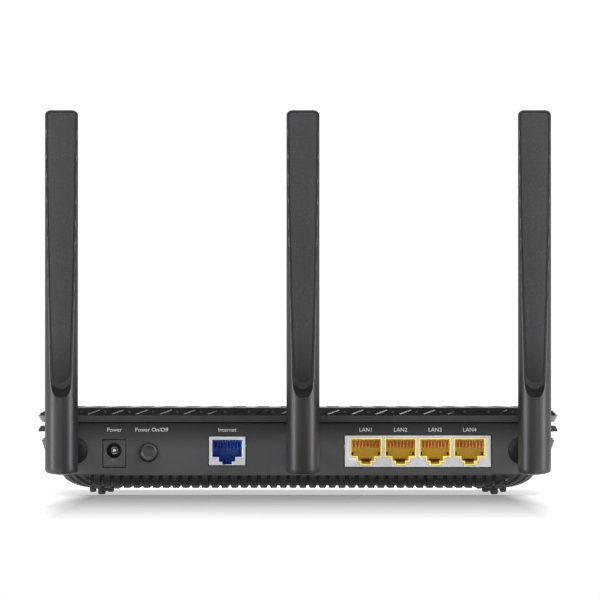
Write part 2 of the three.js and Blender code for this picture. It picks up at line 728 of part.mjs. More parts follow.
const paint = (color, roughness, metalness = 0) => new THREE.MeshStandardMaterial({ color, roughness, metalness });
const finishes = {
  casing: paint(0x1b1b1d, 0.55),
  cover: paint(0x121214, 0.25),
  panel: paint(0x3a3a3c, 0.65),
  antenna: paint(0x3c3c3e, 0.5),
  chrome: paint(0xd8dade, 0.08, 1),
  steel: paint(0xc2c4c8, 0.3, 1),
  gold: paint(0xc9962e, 0.3, 1),
  rubber: paint(0x141414, 0.9),
  board: paint(0x14502c, 0.5),
  chip: paint(0x1a1a1c, 0.45),
  blue: paint(0x1f4fc4, 0.4),
  yellow: paint(0xe9b92a, 0.45),
  lens: paint(0x2a2c30, 0.15),
  white: paint(0xe8e8e4, 0.5),
  insulation: paint(0x2a2a2c, 0.5),
};

// ---------------------------------------------------------------- assembly

const router = new THREE.Group();
router.position.y = -centreY;

function place(name, solid, finish, parent = router) {
  const geometry = solid.isBufferGeometry ? solid : geometryOf(solid);
  const mesh = new THREE.Mesh(geometry, finishes[finish]);
  mesh.name = name;
  parent.add(mesh);
}

place("bottom_case", bottomCase(), "casing");
place("top_cover", topCover(), "cover");
place("trim_band", trimBand(), "chrome");
place("rear_panel", rearPanel(), "panel");
place("light_guide", lightGuide(), "lens");

const corners = ["rear_left", "front_left", "rear_right", "front_right"];
postPlaces.forEach(([x, y], i) => {
  place(`foot_${corners[i]}`, foot(x, y), "rubber");
  place(`screw_${corners[i]}`, screw(x, y), "steel");
});

place("main_board", mainBoard(), "board");
place("processor", processor(), "chip");
place("heat_sink", heatSink(), "steel");
place("radio_shield_left", radioShield(-52), "steel");
place("radio_shield_right", radioShield(52), "steel");
place("lan_transformer", transformer(lanCentreX, 48), "chip");
place("wan_transformer", transformer(wanX, 15), "chip");
place("status_leds", statusLeds(), "white");

place("lan_jack_shield", lanShield(), "steel");
for (const { number, x } of lanSockets) {
  const [bottom, top] = [lanShieldBottomZ + socketSheet + 0.25, lanShieldTopZ - socketSheet - 0.25];
  place(`lan_jack_housing_${number}`, socketHousing(x, 13.7, bottom, top, lanOpeningTopZ, collar), "yellow");
  place(`lan_jack_contacts_${number}`, socketContacts(x, lanOpeningTopZ), "gold");
}
place("wan_jack_shield", wanShield(), "steel");
const wanHousingBottom = wanShieldBottomZ + socketSheet + 0.2;
const wanHousingTop = wanShieldTopZ - socketSheet - 0.25;
place("wan_jack_housing", socketHousing(wanX, 13.8, wanHousingBottom, wanHousingTop, wanOpeningTopZ, 0), "blue");
place("wan_jack_contacts", socketContacts(wanX, wanOpeningTopZ), "gold");

place("power_jack", powerSocket(), "chip");
place("power_jack_pin", powerSocketPin(), "steel");
place("power_switch", powerSwitch(), "chip");
place("power_button", powerButtonCap(), "casing");
place("side_switch", sideSwitch(), "chip");
place("side_button", sideButtonCap(), "casing");

for (const { name, x, offset } of antennas) {
  const hinge = new THREE.Group();
  hinge.position.set(x, hingeY, pivotZ);
  router.add(hinge);
  place(`antenna_${name}_knuckle`, knuckle(offset), "casing", hinge);
  place(`antenna_${name}_nut`, swivelNut(offset), "steel", hinge);
  place(`antenna_${name}_hinge_pin`, hingePin(), "steel", hinge);
  place(`antenna_${name}_shell`, bladeShell(), "antenna", hinge);
  place(`antenna_${name}_face`, bladeFace(), "antenna", hinge);
  place(`antenna_${name}_radiator`, radiator(), "board", hinge);
  place(`antenna_${name}_coax`, coaxLead(coaxRoute({ x, offset })), "insulation");
}

export default router;
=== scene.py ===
import json
import math

import bmesh
import bpy
import numpy as np
from bpy.props import FloatProperty, FloatVectorProperty, PointerProperty
from mathutils import Matrix, Vector


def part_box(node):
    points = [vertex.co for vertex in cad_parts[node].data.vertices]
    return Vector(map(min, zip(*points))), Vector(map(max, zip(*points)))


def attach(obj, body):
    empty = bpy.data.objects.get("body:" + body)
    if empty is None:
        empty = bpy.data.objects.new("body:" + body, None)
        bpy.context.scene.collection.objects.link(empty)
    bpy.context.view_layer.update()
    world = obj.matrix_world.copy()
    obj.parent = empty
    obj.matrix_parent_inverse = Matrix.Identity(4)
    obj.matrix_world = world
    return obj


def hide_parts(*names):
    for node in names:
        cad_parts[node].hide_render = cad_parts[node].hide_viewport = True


bl_info = {
    "name": "Wireless router looks",
    "version": (1, 0, 0),
    "blender": (4, 5, 0),
    "location": "3D View > Sidebar > Router",
    "description": "Housing, sockets, buttons and hinged antennas of a desktop wireless router",
    "category": "Object",
}

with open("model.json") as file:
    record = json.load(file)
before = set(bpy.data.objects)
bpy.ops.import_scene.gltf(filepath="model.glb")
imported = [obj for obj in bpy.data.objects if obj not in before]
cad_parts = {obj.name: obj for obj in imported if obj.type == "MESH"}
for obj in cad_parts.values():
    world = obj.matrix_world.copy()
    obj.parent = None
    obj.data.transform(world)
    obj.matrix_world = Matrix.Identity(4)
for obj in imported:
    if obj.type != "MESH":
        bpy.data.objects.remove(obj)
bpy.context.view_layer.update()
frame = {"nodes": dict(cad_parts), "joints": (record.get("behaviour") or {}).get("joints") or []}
MM = 0.001


def mm_box(node):
    """Lowest and highest corner of a CAD node, in millimetres."""
    low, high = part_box(node)
    return np.array(low) / MM, np.array(high) / MM


PANEL_LOW, PANEL_HIGH = mm_box("rear_panel")
COVER_LOW = mm_box("top_cover")[0]
CASE_LOW, CASE_HIGH = mm_box("bottom_case")
REAR_Y = PANEL_LOW[1]
HALF_WIDTH, FRONT_Y, _ = mm_box("trim_band")[1]
SIDES = ("left", "middle", "right")
CORNERS = ("rear_left", "front_left", "rear_right", "front_right")


def middle_of(node):
    """The middle of a CAD node's box, in millimetres."""
    low, high = mm_box(node)
    return (low + high) / 2


def joint_place(side, kind):
    """The point of one antenna's swivel or fold, in millimetres."""
    for joint in frame["joints"]:
        if joint["name"] == f"{side}_antenna_{kind}":
            return np.array(joint["pos_m"]) / MM
    raise RuntimeError(f"no {kind} joint for the {side} antenna")


# ---- sizes and colours


class RouterSizes(bpy.types.PropertyGroup):
    """Sizes of the details that the frame leaves open."""

    rib_depth: FloatProperty(
        name="Rib depth", description="How deep the grooves between the underside's ribs are",
        default=0.001, min=0.0, max=0.0018, unit="LENGTH")
    rib_pitch: FloatProperty(
        name="Rib pitch", description="Distance from rib to rib along the rear edge",
        default=0.00396, min=0.002, max=0.01, unit="LENGTH")
    relief_pitch: FloatProperty(
        name="Relief pitch", description="Distance between the slanted bars on the cover",
        default=0.00974, min=0.005, max=0.02, unit="LENGTH")
    relief_height: FloatProperty(
        name="Relief height", description="How far the slanted bars stand off the cover",
        default=0.00055, min=0.0001, max=0.001, unit="LENGTH")
    label_height: FloatProperty(
        name="Label height", description="Height of a capital letter on the rear panel",
        default=0.0015, min=0.0008, max=0.003, unit="LENGTH")


class RouterColours(bpy.types.PropertyGroup):
    """Colours of the visible plastics."""

    casing: FloatVectorProperty(
        name="Case", description="Lower case and buttons", subtype="COLOR", size=3,
        default=(0.018, 0.018, 0.019), min=0.0, max=1.0)
    panel: FloatVectorProperty(
        name="Rear panel", description="Rear panel with the sockets", subtype="COLOR", size=3,
        default=(0.054, 0.054, 0.056), min=0.0, max=1.0)
    cover: FloatVectorProperty(
        name="Cover", description="Polished top cover", subtype="COLOR", size=3,
        default=(0.006, 0.006, 0.007), min=0.0, max=1.0)
    antenna: FloatVectorProperty(
        name="Antennas", description="Antenna tubes", subtype="COLOR", size=3,
        default=(0.011, 0.011, 0.012), min=0.0, max=1.0)
    antenna_face: FloatVectorProperty(
        name="Antenna faces", description="Flat plates let into the antennas", subtype="COLOR", size=3,
        default=(0.02, 0.02, 0.021), min=0.0, max=1.0)
    lan: FloatVectorProperty(
        name="LAN sockets", description="Housings of the four LAN sockets", subtype="COLOR", size=3,
        default=(0.9, 0.73, 0.11), min=0.0, max=1.0)
    wan: FloatVectorProperty(
        name="WAN socket", description="Housing of the internet socket", subtype="COLOR", size=3,
        default=(0.05, 0.24, 0.85), min=0.0, max=1.0)


def sizes():
    return bpy.context.scene.router_sizes


def colours():
    return bpy.context.scene.router_colours


# ---- shader helpers


class Wire:
    """A shader socket that takes part in arithmetic."""

    def __init__(self, finish, socket):
        self.finish = finish
        self.socket = socket

    def __add__(self, other):
        return self.finish.sum("ADD", self, other)

    def __mul__(self, other):
        return self.finish.sum("MULTIPLY", self, other)


class Finish:
    """One material under construction."""

    def __init__(self, name):
        self.material = bpy.data.materials.new(name)
        self.material.use_nodes = True
        self.tree = self.material.node_tree
        self.tree.nodes.clear()

    def node(self, kind, settings=None, inputs=None, output=0):
        """Adds a shader node; an input may be a value or another node's wire."""
        made = self.tree.nodes.new(kind)
        for key, value in (settings or {}).items():
            setattr(made, key, value)
        for key, value in (inputs or {}).items():
            if isinstance(value, Wire):
                self.tree.links.new(value.socket, made.inputs[key])
            else:
                made.inputs[key].default_value = value
        return Wire(self, made.outputs[output])

    def place(self):
        return self.node("ShaderNodeTexCoord", output="Object")

    def part(self, axis):
        """One coordinate of the object's own position."""
        return self.node("ShaderNodeSeparateXYZ", inputs={0: self.place()}, output=axis)

    def sum(self, operation, *values):
        return self.node("ShaderNodeMath", {"operation": operation}, dict(enumerate(values)))

    def larger(self, *values):
        return self.sum("MAXIMUM", *values)

    def stretched(self, scale):
        return self.node("ShaderNodeMapping", inputs={"Vector": self.place(), "Scale": scale})

    def noise(self, vector, scale, detail=3.0, roughness=0.55):
        return self.node(
            "ShaderNodeTexNoise",
            inputs={"Vector": vector, "Scale": scale, "Detail": detail, "Roughness": roughness})

    def span(self, value, low, high, from_low=0.3, from_high=0.7):
        """A noise value spread from low to high."""
        return self.node(
            "ShaderNodeMapRange",
            inputs={"Value": value, "From Min": from_low, "From Max": from_high,
                    "To Min": low, "To Max": high})

    def between(self, factor, first, second):
        """Two colours mixed; each is a wire or a tuple without alpha."""
        ends = [(*end, 1.0) if isinstance(end, tuple) else end for end in (first, second)]
        return self.node(
            "ShaderNodeMix", {"data_type": "RGBA"}, {0: factor, 6: ends[0], 7: ends[1]}, output=2)

    def bump(self, height, strength, distance):
        return self.node(
            "ShaderNodeBump", inputs={"Height": height, "Strength": strength, "Distance": distance})

    def surface(self, **values):
        sockets = {name.replace("_", " "): value for name, value in values.items()}
        shader = self.node("ShaderNodeBsdfPrincipled", inputs=sockets)
        self.node_output(shader)
        return self.material

    def node_output(self, shader):
        out = self.tree.nodes.new("ShaderNodeOutputMaterial")
        self.tree.links.new(shader.socket, out.inputs["Surface"])


def shade(colour, factor):
    """A colour made darker or lighter."""
    return tuple(min(1.0, c * factor) for c in colour)


def moulded(name, colour, roughness, grain=2600.0, depth=0.00004, mottle=0.12, speckle=0.0, coat=0.0,
            gloss=0.5, fade=None, glow=0.0):
    """Moulded plastic with a fine grain and slight mottling. A fade is painted shade between two heights,
    dark at the first; a glow is painted light.
    """
    f = Finish(name)
    place = f.place()
    cloud = f.noise(place, 45.0, 4.0)
    fine = f.noise(place, grain, 2.0, 0.6)
    base = f.between(f.span(cloud, 0.0, 1.0), shade(colour, 1 - mottle), shade(colour, 1 + mottle))
    if speckle:
        spots = f.span(f.noise(place, grain * 0.8, 1.0), 0.0, speckle, 0.55, 0.75)
        base = f.between(spots, base, shade(colour, 3.2))
    if fade:
        base = f.between(f.span(f.part(2), 0.0, 1.0, *fade), shade(colour, 0.12), base)
    rough = f.span(fine, roughness - 0.06, roughness + 0.06) + f.span(cloud, -0.03, 0.03)
    return f.surface(
        Base_Color=base, Roughness=rough, Normal=f.bump(fine, 0.35, depth),
        Coat_Weight=coat, Coat_Roughness=0.12,
        Specular_IOR_Level=gloss, Emission_Color=(*shade(colour, 1.0), 1.0), Emission_Strength=glow)


def polished(name, colour, roughness=0.09):
    """Polished plastic with a faint swirl of wiping marks."""
    f = Finish(name)
    place = f.place()
    smear = f.noise(f.stretched((40.0, 90.0, 60.0)), 1.0, 5.0)
    dust = f.noise(place, 1800.0, 1.0)
    base = f.between(f.span(dust, 0.0, 0.2, 0.62, 0.8), colour, shade(colour, 3.0))
    rough = f.span(smear, roughness, roughness + 0.1)
    wave = f.noise(place, 60.0, 2.0)
    return f.surface(Base_Color=base, Roughness=rough, Normal=f.bump(wave, 0.08, 0.0001))


def plated(name, colour, roughness, streak=(400.0, 30.0, 400.0), wear=0.12, metallic=1.0):
    """Rolled or plated metal: streaks along the sheet and patches that differ a little in tone."""
    f = Finish(name)
    streaks = f.noise(f.stretched(streak), 1.0, 4.0, 0.65)
    patch = f.noise(f.place(), 90.0, 3.0)
    base = f.between(f.span(patch, 0.0, 1.0), shade(colour, 1 - wear), shade(colour, 1 + wear * 0.4))
    rough = f.span(streaks, roughness * 0.75, roughness * 1.35)
    return f.surface(
        Base_Color=base, Roughness=rough, Metallic=metallic, Normal=f.bump(streaks, 0.06, 0.00002))


def circuit(name, colour):
    """Solder mask over copper: paler tracks where the copper runs beneath."""
    f = Finish(name)
    lines = f.node(
        "ShaderNodeTexBrick", {"offset": 0.35, "squash": 1.6},
        {"Vector": f.place(), "Scale": 210.0, "Mortar Size": 0.035, "Brick Width": 0.9, "Row Height": 0.3,
         "Color1": (0, 0, 0, 1), "Color2": (0.25, 0.25, 0.25, 1), "Mortar": (1, 1, 1, 1)})
    tone = f.between(lines, colour, shade(colour, 1.9))
    fine = f.noise(f.place(), 900.0, 2.0)
    return f.surface(
        Base_Color=tone, Roughness=f.span(fine, 0.3, 0.42), Normal=f.bump(lines, 0.25, 0.00005),
        Coat_Weight=0.3)


def rubbery(name, colour):
    """Matte rubber with a chalky bloom."""
    f = Finish(name)
    bloom = f.noise(f.place(), 320.0, 4.0)
    base = f.between(f.span(bloom, 0.0, 1.0), colour, shade(colour, 2.2))
    return f.surface(Base_Color=base, Roughness=f.span(bloom, 0.72, 0.92), Normal=f.bump(bloom, 0.3, 0.00008))


def smoked(name, colour):
    """Smoked light guide with a milky patch over each lamp."""
    f = Finish(name)
    waves = f.node(
        "ShaderNodeTexWave", {"wave_type": "BANDS", "bands_direction": "X"},
        {"Vector": f.place(), "Scale": 39.3, "Distortion": 0.4})
    base = f.between(f.span(waves, 0.0, 1.0, 0.75, 0.98), colour, shade(colour, 6.0))
    fine = f.noise(f.place(), 500.0, 2.0)
    return f.surface(Base_Color=base, Roughness=f.span(fine, 0.12, 0.22), Coat_Weight=0.4)


def inked(name, colour):
    """Screen-printed ink, thin enough that the grain breaks its edges a little."""
    f = Finish(name)
    fine = f.noise(f.place(), 3200.0, 2.0)
    base = f.between(f.span(fine, 0.0, 1.0), shade(colour, 0.85), colour)
    return f.surface(Base_Color=base, Roughness=f.span(fine, 0.5, 0.65), Normal=f.bump(fine, 0.2, 0.00002))


# Heights between which a painted shade lifts: under the cover's ledge, and up an antenna's face plate.
LEDGE_SHADE = (0.0275, 0.0185)
PLATE_SHADE = (0.0455, 0.064)
FINISHES = {}


def finish_recipes(c):
    """What makes each material: the function, the colour, further values in order, and options by name."""
    return {
        # The case plastic is much darker than the panel's: painted shade on the ribbed band that faces down.
        "case_plastic": (moulded, c.casing, 0.5),
        "panel_plastic": (moulded, c.panel, 0.52, {"mottle": 0.06, "fade": LEDGE_SHADE}),
        # The cover's underside takes the panel's lighter matte plastic: a painted reflection of the table.
        "ledge_plastic": (moulded, c.panel, 0.52, {"mottle": 0.06}),
        "cover_plastic": (polished, c.cover, 0.2),
        "antenna_plastic": (moulded, c.antenna, 0.36, {"mottle": 0.05}),
        "antenna_plate": (
            moulded, c.antenna_face, 0.55, 3000.0,
            {"speckle": 0.5, "mottle": 0.05, "gloss": 0.35, "fade": PLATE_SHADE}),
        # A darker copy of the antenna plastic for the scoop: painted shade.
        "antenna_shade": (moulded, shade(c.antenna, 0.2), 0.6, {"gloss": 0.15}),
        # The knuckles' plastic is much darker than the case: painted shade round the hinges.
        "knuckle_plastic": (moulded, shade(c.casing, 0.3), 0.6, {"gloss": 0.2}),
        "button_plastic": (moulded, shade(c.panel, 0.75), 0.34),
        "bright_trim": (plated, (0.66, 0.67, 0.69), 0.07, {"wear": 0.03}),
        "tinned_steel": (plated, (0.72, 0.73, 0.75), 0.34),
        "socket_shell": (plated, (0.8, 0.81, 0.83), 0.42, {"metallic": 0.7, "wear": 0.05}),
        "raw_aluminium": (plated, (0.7, 0.71, 0.72), 0.38, (30.0, 500.0, 500.0)),
        "gold_wire": (plated, (0.95, 0.6, 0.24), 0.3, {"wear": 0.15, "metallic": 0.6}),
        "bright_wire": (plated, (0.35, 0.55, 0.95), 0.3, {"wear": 0.1, "metallic": 0.6}),
        # The LAN housings glow a little: painted light that lifts their shaded insides.
        "lan_plastic": (moulded, c.lan, 0.4, 1800.0, {"mottle": 0.1, "coat": 0.2, "glow": 0.07}),
        # A paler copy of the LAN yellow for the housings' front faces: painted light.
        "lan_rim": (moulded, (0.95, 0.83, 0.3), 0.4, 1800.0, {"mottle": 0.05}),
        "wan_plastic": (moulded, c.wan, 0.38, 1800.0, {"mottle": 0.1, "coat": 0.2}),
        # The combs glow too: painted light inside the sockets.
        "comb_plastic": (moulded, (0.62, 0.3, 0.08), 0.45, 1800.0, {"glow": 0.1}),
        # Dark brown of the socket slots: painted shade.
        "latch_plastic": (moulded, (0.16, 0.06, 0.02), 0.5, 1800.0),
        "comb_blue": (moulded, (0.02, 0.1, 0.5), 0.45, 1800.0),
        "foot_rubber": (rubbery, (0.03, 0.03, 0.03)),
        "solder_mask": (circuit, (0.015, 0.13, 0.05)),
        "chip_resin": (moulded, (0.02, 0.02, 0.022), 0.45, 1500.0),
        "jack_plastic": (moulded, (0.018, 0.018, 0.019), 0.4, 2000.0),
        "smoked_guide": (smoked, (0.02, 0.02, 0.024)),
        "lamp_white": (moulded, (0.75, 0.75, 0.7), 0.45, 1500.0),
        "lead_sleeve": (moulded, (0.025, 0.025, 0.027), 0.45, 1500.0),
        "label_ink": (inked, (0.62, 0.63, 0.65)),
    }


def finish(key):
    """The material of that name, made once."""
    if key not in FINISHES:
        maker, colour, *values = finish_recipes(colours())[key]
        options = values.pop() if values and isinstance(values[-1], dict) else {}
        FINISHES[key] = maker(key, tuple(colour), *values, **options)
    return FINISHES[key]


# ---- mesh helpers


def linked(name, data):
    """A new object in the scene."""
    obj = bpy.data.objects.new(name, data)
    bpy.context.scene.collection.objects.link(obj)
    return obj


def baked(obj, **options):
    """The mesh of an object after its modifiers, or of a text."""
    depsgraph = bpy.context.evaluated_depsgraph_get()
    return bpy.data.meshes.new_from_object(obj.evaluated_get(depsgraph), depsgraph=depsgraph, **options)


def piece_from(name, verts, faces, material, smooth_angle=35.0):
    """A new object from vertices in millimetres."""
    mesh = bpy.data.meshes.new(name)
    mesh.from_pydata((np.asarray(verts, float) * MM).tolist(), [], [list(map(int, f)) for f in faces])
    mesh.validate()
    obj = linked(name, mesh)
    mesh.materials.append(finish(material))
    soften(obj, smooth_angle)
    return obj


def also_finished(obj, material, wanted):
    """Gives the faces that are wanted a second finish."""
    obj.data.materials.append(finish(material))
    for face in obj.data.polygons:
        if wanted(face):
            face.material_index = 1


def soften(obj, angle):
    """Smooth shading, with edges sharper than the angle kept crisp."""
    mesh = obj.data
    mesh.polygons.foreach_set("use_smooth", [True] * len(mesh.polygons))
    mesh.set_sharp_from_angle(angle=math.radians(angle))
    mesh.update()


def loft_parts(rings):
    """Vertices and faces of a closed body through equally long rings, anticlockwise from above, rising."""
    rings = np.asarray(rings, float)
    count, around = rings.shape[:2]
    verts = rings.reshape(-1, 3).tolist() + [rings[0].mean(0).tolist(), rings[-1].mean(0).tolist()]
    faces = []
    for k in range(count - 1):
        for i in range(around):
            j = (i + 1) % around
            low, high = k * around, (k + 1) * around
            faces.append((low + i, low + j, high + j, high + i))
    bottom, top = count * around, count * around + 1
    last = (count - 1) * around
    for i in range(around):
        j = (i + 1) % around
        faces.append((bottom, j, i))
        faces.append((top, last + i, last + j))
    return verts, faces


def lofted(name, rings, material, smooth_angle=35.0):
    return piece_from(name, *loft_parts(rings), material, smooth_angle)


def block(x0, x1, y0, y1, z0, z1):
    """Vertices and faces of a box."""
    ring = [(x0, y0), (x1, y0), (x1, y1), (x0, y1)]
    return loft_parts([[(x, y, z) for x, y in ring] for z in (z0, z1)])


def turned(profile, axis_point, direction="y", around=48):
    """A turned body: the profile's (radius, along) pairs rise along the axis through the point."""
    x, y, z = axis_point
    rings = []
    for radius, along in profile:
        angles = np.linspace(0, 2 * math.pi, around, endpoint=False)
        c, s = max(radius, 1e-4) * np.cos(angles), max(radius, 1e-4) * np.sin(angles)
        if direction == "y":
            rings.append(np.stack([x + s, np.full(around, y + along), z + c], 1))
        elif direction == "x":
            rings.append(np.stack([np.full(around, x + along), y + c, z + s], 1))
        else:
            rings.append(np.stack([x + c, y + s, np.full(around, z + along)], 1))
    return loft_parts(rings)


def joined(parts):
    """Several vertex and face lists as one."""
    verts, faces = [], []
    for v, f in parts:
        start = len(verts)
        verts.extend(v)
        faces.extend([[start + i for i in face] for face in f])
    return verts, faces


def applied(obj):
    """The object's modifiers baked into its mesh."""
    mesh = baked(obj, preserve_all_data_layers=True)
    obj.modifiers.clear()
    old = obj.data
    obj.data = mesh
    if old.users == 0:
        bpy.data.meshes.remove(old)
    return obj


def cut(obj, parts, smooth_angle=35.0):
    """Takes closed bodies, given as vertices and faces, out of an object."""
    tool = piece_from("cutter", *joined(parts), "case_plastic")
    tidy_mesh(tool.data, 0.0)
    tool.hide_render = True
    step = obj.modifiers.new("cut", "BOOLEAN")
    step.operation = "DIFFERENCE"
    step.object = tool
    step.solver = "MANIFOLD"
    applied(obj)
    bpy.data.objects.remove(tool)
    while len(obj.data.materials) > 1:
        obj.data.materials.pop()
    soften(obj, smooth_angle)
    return obj


def tidy_mesh(mesh, merge_mm=0.002, dissolve_deg=0.0):
    """Merges doubles, joins coplanar triangles and turns the faces outwards."""
    bm = bmesh.new()
    bm.from_mesh(mesh)
    if merge_mm:
        bmesh.ops.remove_doubles(bm, verts=bm.verts, dist=merge_mm * MM)
    if dissolve_deg:
        bmesh.ops.dissolve_limit(
            bm, angle_limit=math.radians(dissolve_deg), verts=bm.verts, edges=bm.edges,
            use_dissolve_boundaries=False)
    bmesh.ops.recalc_face_normals(bm, faces=bm.faces)
    bm.to_mesh(mesh)
    bm.free()
    mesh.update()


def rounded_edges(obj, width_mm, segments=2, angle=35.0):
    """Rounds every edge sharper than the angle."""
    step = obj.modifiers.new("round", "BEVEL")
    step.width = width_mm * MM
    step.segments = segments
    step.limit_method = "ANGLE"
    step.angle_limit = math.radians(angle)
    step.use_clamp_overlap = True
    step.harden_normals = False
    applied(obj)
    soften(obj, 40.0)
    return obj


def dressed(node, name, body, slot, material, round_mm, segments=2):
    """A finished copy of a CAD node: merged, with its edges rounded."""
    obj = linked(name, frame["nodes"][node].data.copy())
    normals = obj.data.attributes.get("custom_normal")
    if normals:
        obj.data.attributes.remove(normals)
    tidy_mesh(obj.data, 0.002, 0.4)
    obj.data.materials.clear()
    obj.data.materials.append(finish(material))
    if round_mm:
        rounded_edges(obj, round_mm, segments, 28.0)
    else:
        soften(obj, 28.0)
    return settle(obj, body, slot, node)


def settle(obj, body, slot, *nodes):
    """Puts a finished piece on its CAD body and takes the CAD nodes' place."""
    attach(obj, body)
    if nodes:
        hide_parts(*nodes)
    return obj


def paint(material, *nodes):
    """Gives carried-over CAD nodes their finish."""
    for node in nodes:
        mesh = frame["nodes"][node].data
        mesh.materials.clear()
        mesh.materials.append(finish(material))


# ---- repeats in Geometry Nodes


def repeat_tree(name, along_outline):
    """A tree that repeats one item over a grid, or along an outline and turned to follow it."""
    tree = bpy.data.node_groups.new(name, "GeometryNodeTree")
    kinds = {"Geometry": "Geometry", "Item": "Object"}
    if along_outline:
        kinds["Count"] = "Int"
    else:
        kinds |= {"Count X": "Int", "Count Y": "Int", "Size X": "Float", "Size Y": "Float"}
        kinds["Offset"] = "Vector"
    kinds["Material"] = "Material"

    def socket(label, kind, side):
        made = tree.interface.new_socket(name=label, in_out=side, socket_type="NodeSocket" + kind)
        return made.identifier

    def link(source, output, target, entry=None):
        tree.links.new(source.outputs[output], target.inputs[entry or output])

    idents = {label: socket(label, kind, "INPUT") for label, kind in kinds.items()}
    socket("Geometry", "Geometry", "OUTPUT")
    new = tree.nodes.new
    start, end = new("NodeGroupInput"), new("NodeGroupOutput")
    item, spread = new("GeometryNodeObjectInfo"), new("GeometryNodeInstanceOnPoints")
    link(start, "Item", item, "Object")
    link(item, "Geometry", spread, "Instance")
    if along_outline:
        points = new("GeometryNodeCurveToPoints")
        link(start, "Geometry", points, "Curve")
        link(start, "Count", points)
        turn = new("FunctionNodeAlignRotationToVector")
        turn.axis, turn.pivot_axis = "X", "Z"
        link(points, "Tangent", turn, "Vector")
        link(points, "Points", spread)
        link(turn, "Rotation", spread)
    else:
        grid = new("GeometryNodeMeshGrid")
        for axis in "XY":
            link(start, f"Size {axis}", grid)
            link(start, f"Count {axis}", grid, f"Vertices {axis}")
        move = new("GeometryNodeTransform")
        link(grid, "Mesh", move, "Geometry")
        link(start, "Offset", move, "Translation")
        link(move, "Geometry", spread, "Points")
    real, coat = new("GeometryNodeRealizeInstances"), new("GeometryNodeSetMaterial")
    link(spread, "Instances", real, "Geometry")
    link(real, "Geometry", coat)
    link(start, "Material", coat)
    link(coat, "Geometry", end)
    return tree, idents


TREES = {}


def repeated(name, item_parts, material, values, curve=None, smooth_angle=30.0):
    """Repeats an item over a grid, or along a curve, and returns the result as a plain mesh object."""
    along_outline = curve is not None
    if along_outline not in TREES:
        tree_name = "repeat_outline" if along_outline else "repeat_grid"
        TREES[along_outline] = repeat_tree(tree_name, along_outline)
    tree, idents = TREES[along_outline]
    item = piece_from(name + "_item", *item_parts, material, smooth_angle)
    holder = linked(name + "_holder", curve or bpy.data.meshes.new("grid_seed"))
    step = holder.modifiers.new("repeat", "NODES")
    step.node_group = tree
    step[idents["Item"]] = item
    step[idents["Material"]] = finish(material)
    for key, value in values.items():
        step[idents[key]] = value
    mesh = baked(holder)
    for extra in (holder, item):
        bpy.data.objects.remove(extra)
    obj = linked(name, mesh)
    soften(obj, smooth_angle)
    tidy_mesh(mesh, 0.0)
    return obj


def grid_values(count_x, pitch, place, count_y=1):
    """The tree's inputs for a grid of items centred on a place, all in millimetres."""
    return {"Count X": count_x, "Count Y": count_y,
            "Size X": (count_x - 1) * pitch * MM, "Size Y": (count_y - 1) * pitch * MM,
            "Offset": tuple(float(value * MM) for value in place)}


# ---- the housing's outline


def outline(x, rear, front, radius, straight_x, straight_y, corner):
    """A rounded rectangle, anticlockwise from above, with set numbers of steps on its sides and corners."""
    def run(a, b, n):
        t = np.arange(n) / n
        return np.stack([a[0] + (b[0] - a[0]) * t, a[1] + (b[1] - a[1]) * t], 1)

    def arc(cx, cy, start):
        t = start + np.arange(corner) / corner * math.pi / 2
        return np.stack([cx + radius * np.cos(t), cy + radius * np.sin(t)], 1)

    r = radius
    return np.concatenate([
        run((-x + r, rear), (x - r, rear), straight_x), arc(x - r, rear + r, -math.pi / 2),
        run((x, rear + r), (x, front - r), straight_y), arc(x - r, front - r, 0.0),
        run((x - r, front), (-x + r, front), straight_x), arc(-x + r, front - r, math.pi / 2),
        run((-x, front - r), (-x, rear + r), straight_y), arc(-x + r, rear + r, math.pi),
    ])


BAND_FOOT_Z = 7.8
UNDERSIDE_Z = CASE_LOW[2]
RIBS_TOP_Z = 8.5
SHOULDER_Z = 17.5
LIP_Z = 22.4
NECK_TOP_Z = CASE_HIGH[2]
BAND_INSET, SHOULDER_INSET, LIP_INSET, NECK_INSET = 10.2, 3.1, 1.4, 4.6
CASE_CORNER = 10
WALL = 2.2
RIB_RISE = 4.2  # how much higher the ribs reach at the sides than at the rear
PANEL_CORNER = 8.2
STATUS_WINDOW = (-30.3, 30.3, FRONT_Y - 14, FRONT_Y + 1, 16.5, 18.9)
SIDE_BUTTON_Z, SIDE_BUTTON_HOLE = 15.5, 2.9
SHAFT_HOLE = 3.0
VENT_PITCH, VENT_HALF_WIDTH, VENT_LENGTH = 8.12, 1, 24
VENT_ROWS = (-19.975, 12.025)

# The underside's rounding: share of the fall from the wall's foot, and how far it has run in by then.
FALL_STEPS = (0.0, 0.36, 0.64, 0.88, 1.0)
SIDE_REACH = (0.0, 1.6, 4.1, 7.4, 11.5)
REAR_REACH = (0.0, 0.8, 2.5, 5.0, 8.0)


def underside_reach(z, reach):
    """How far the underside's rounding has run in at a height."""
    fall = min(1.0, max(0.0, (BAND_FOOT_Z - z) / (BAND_FOOT_Z - UNDERSIDE_Z)))
    return float(np.interp(fall, FALL_STEPS, reach))


def case_inset(z):
    """How far the case stands in from the body's outline at a height."""
    if z < BAND_FOOT_Z:
        return BAND_INSET + underside_reach(z, SIDE_REACH)
    return float(np.interp(z, (BAND_FOOT_Z, SHOULDER_Z, LIP_Z), (BAND_INSET, SHOULDER_INSET, LIP_INSET)))


def case_rear(z):
    """The case's rearmost point at a height."""
    return REAR_Y + underside_reach(z, REAR_REACH)


# Points of the outline from one rib to the next.
RIB_STEPS = 8


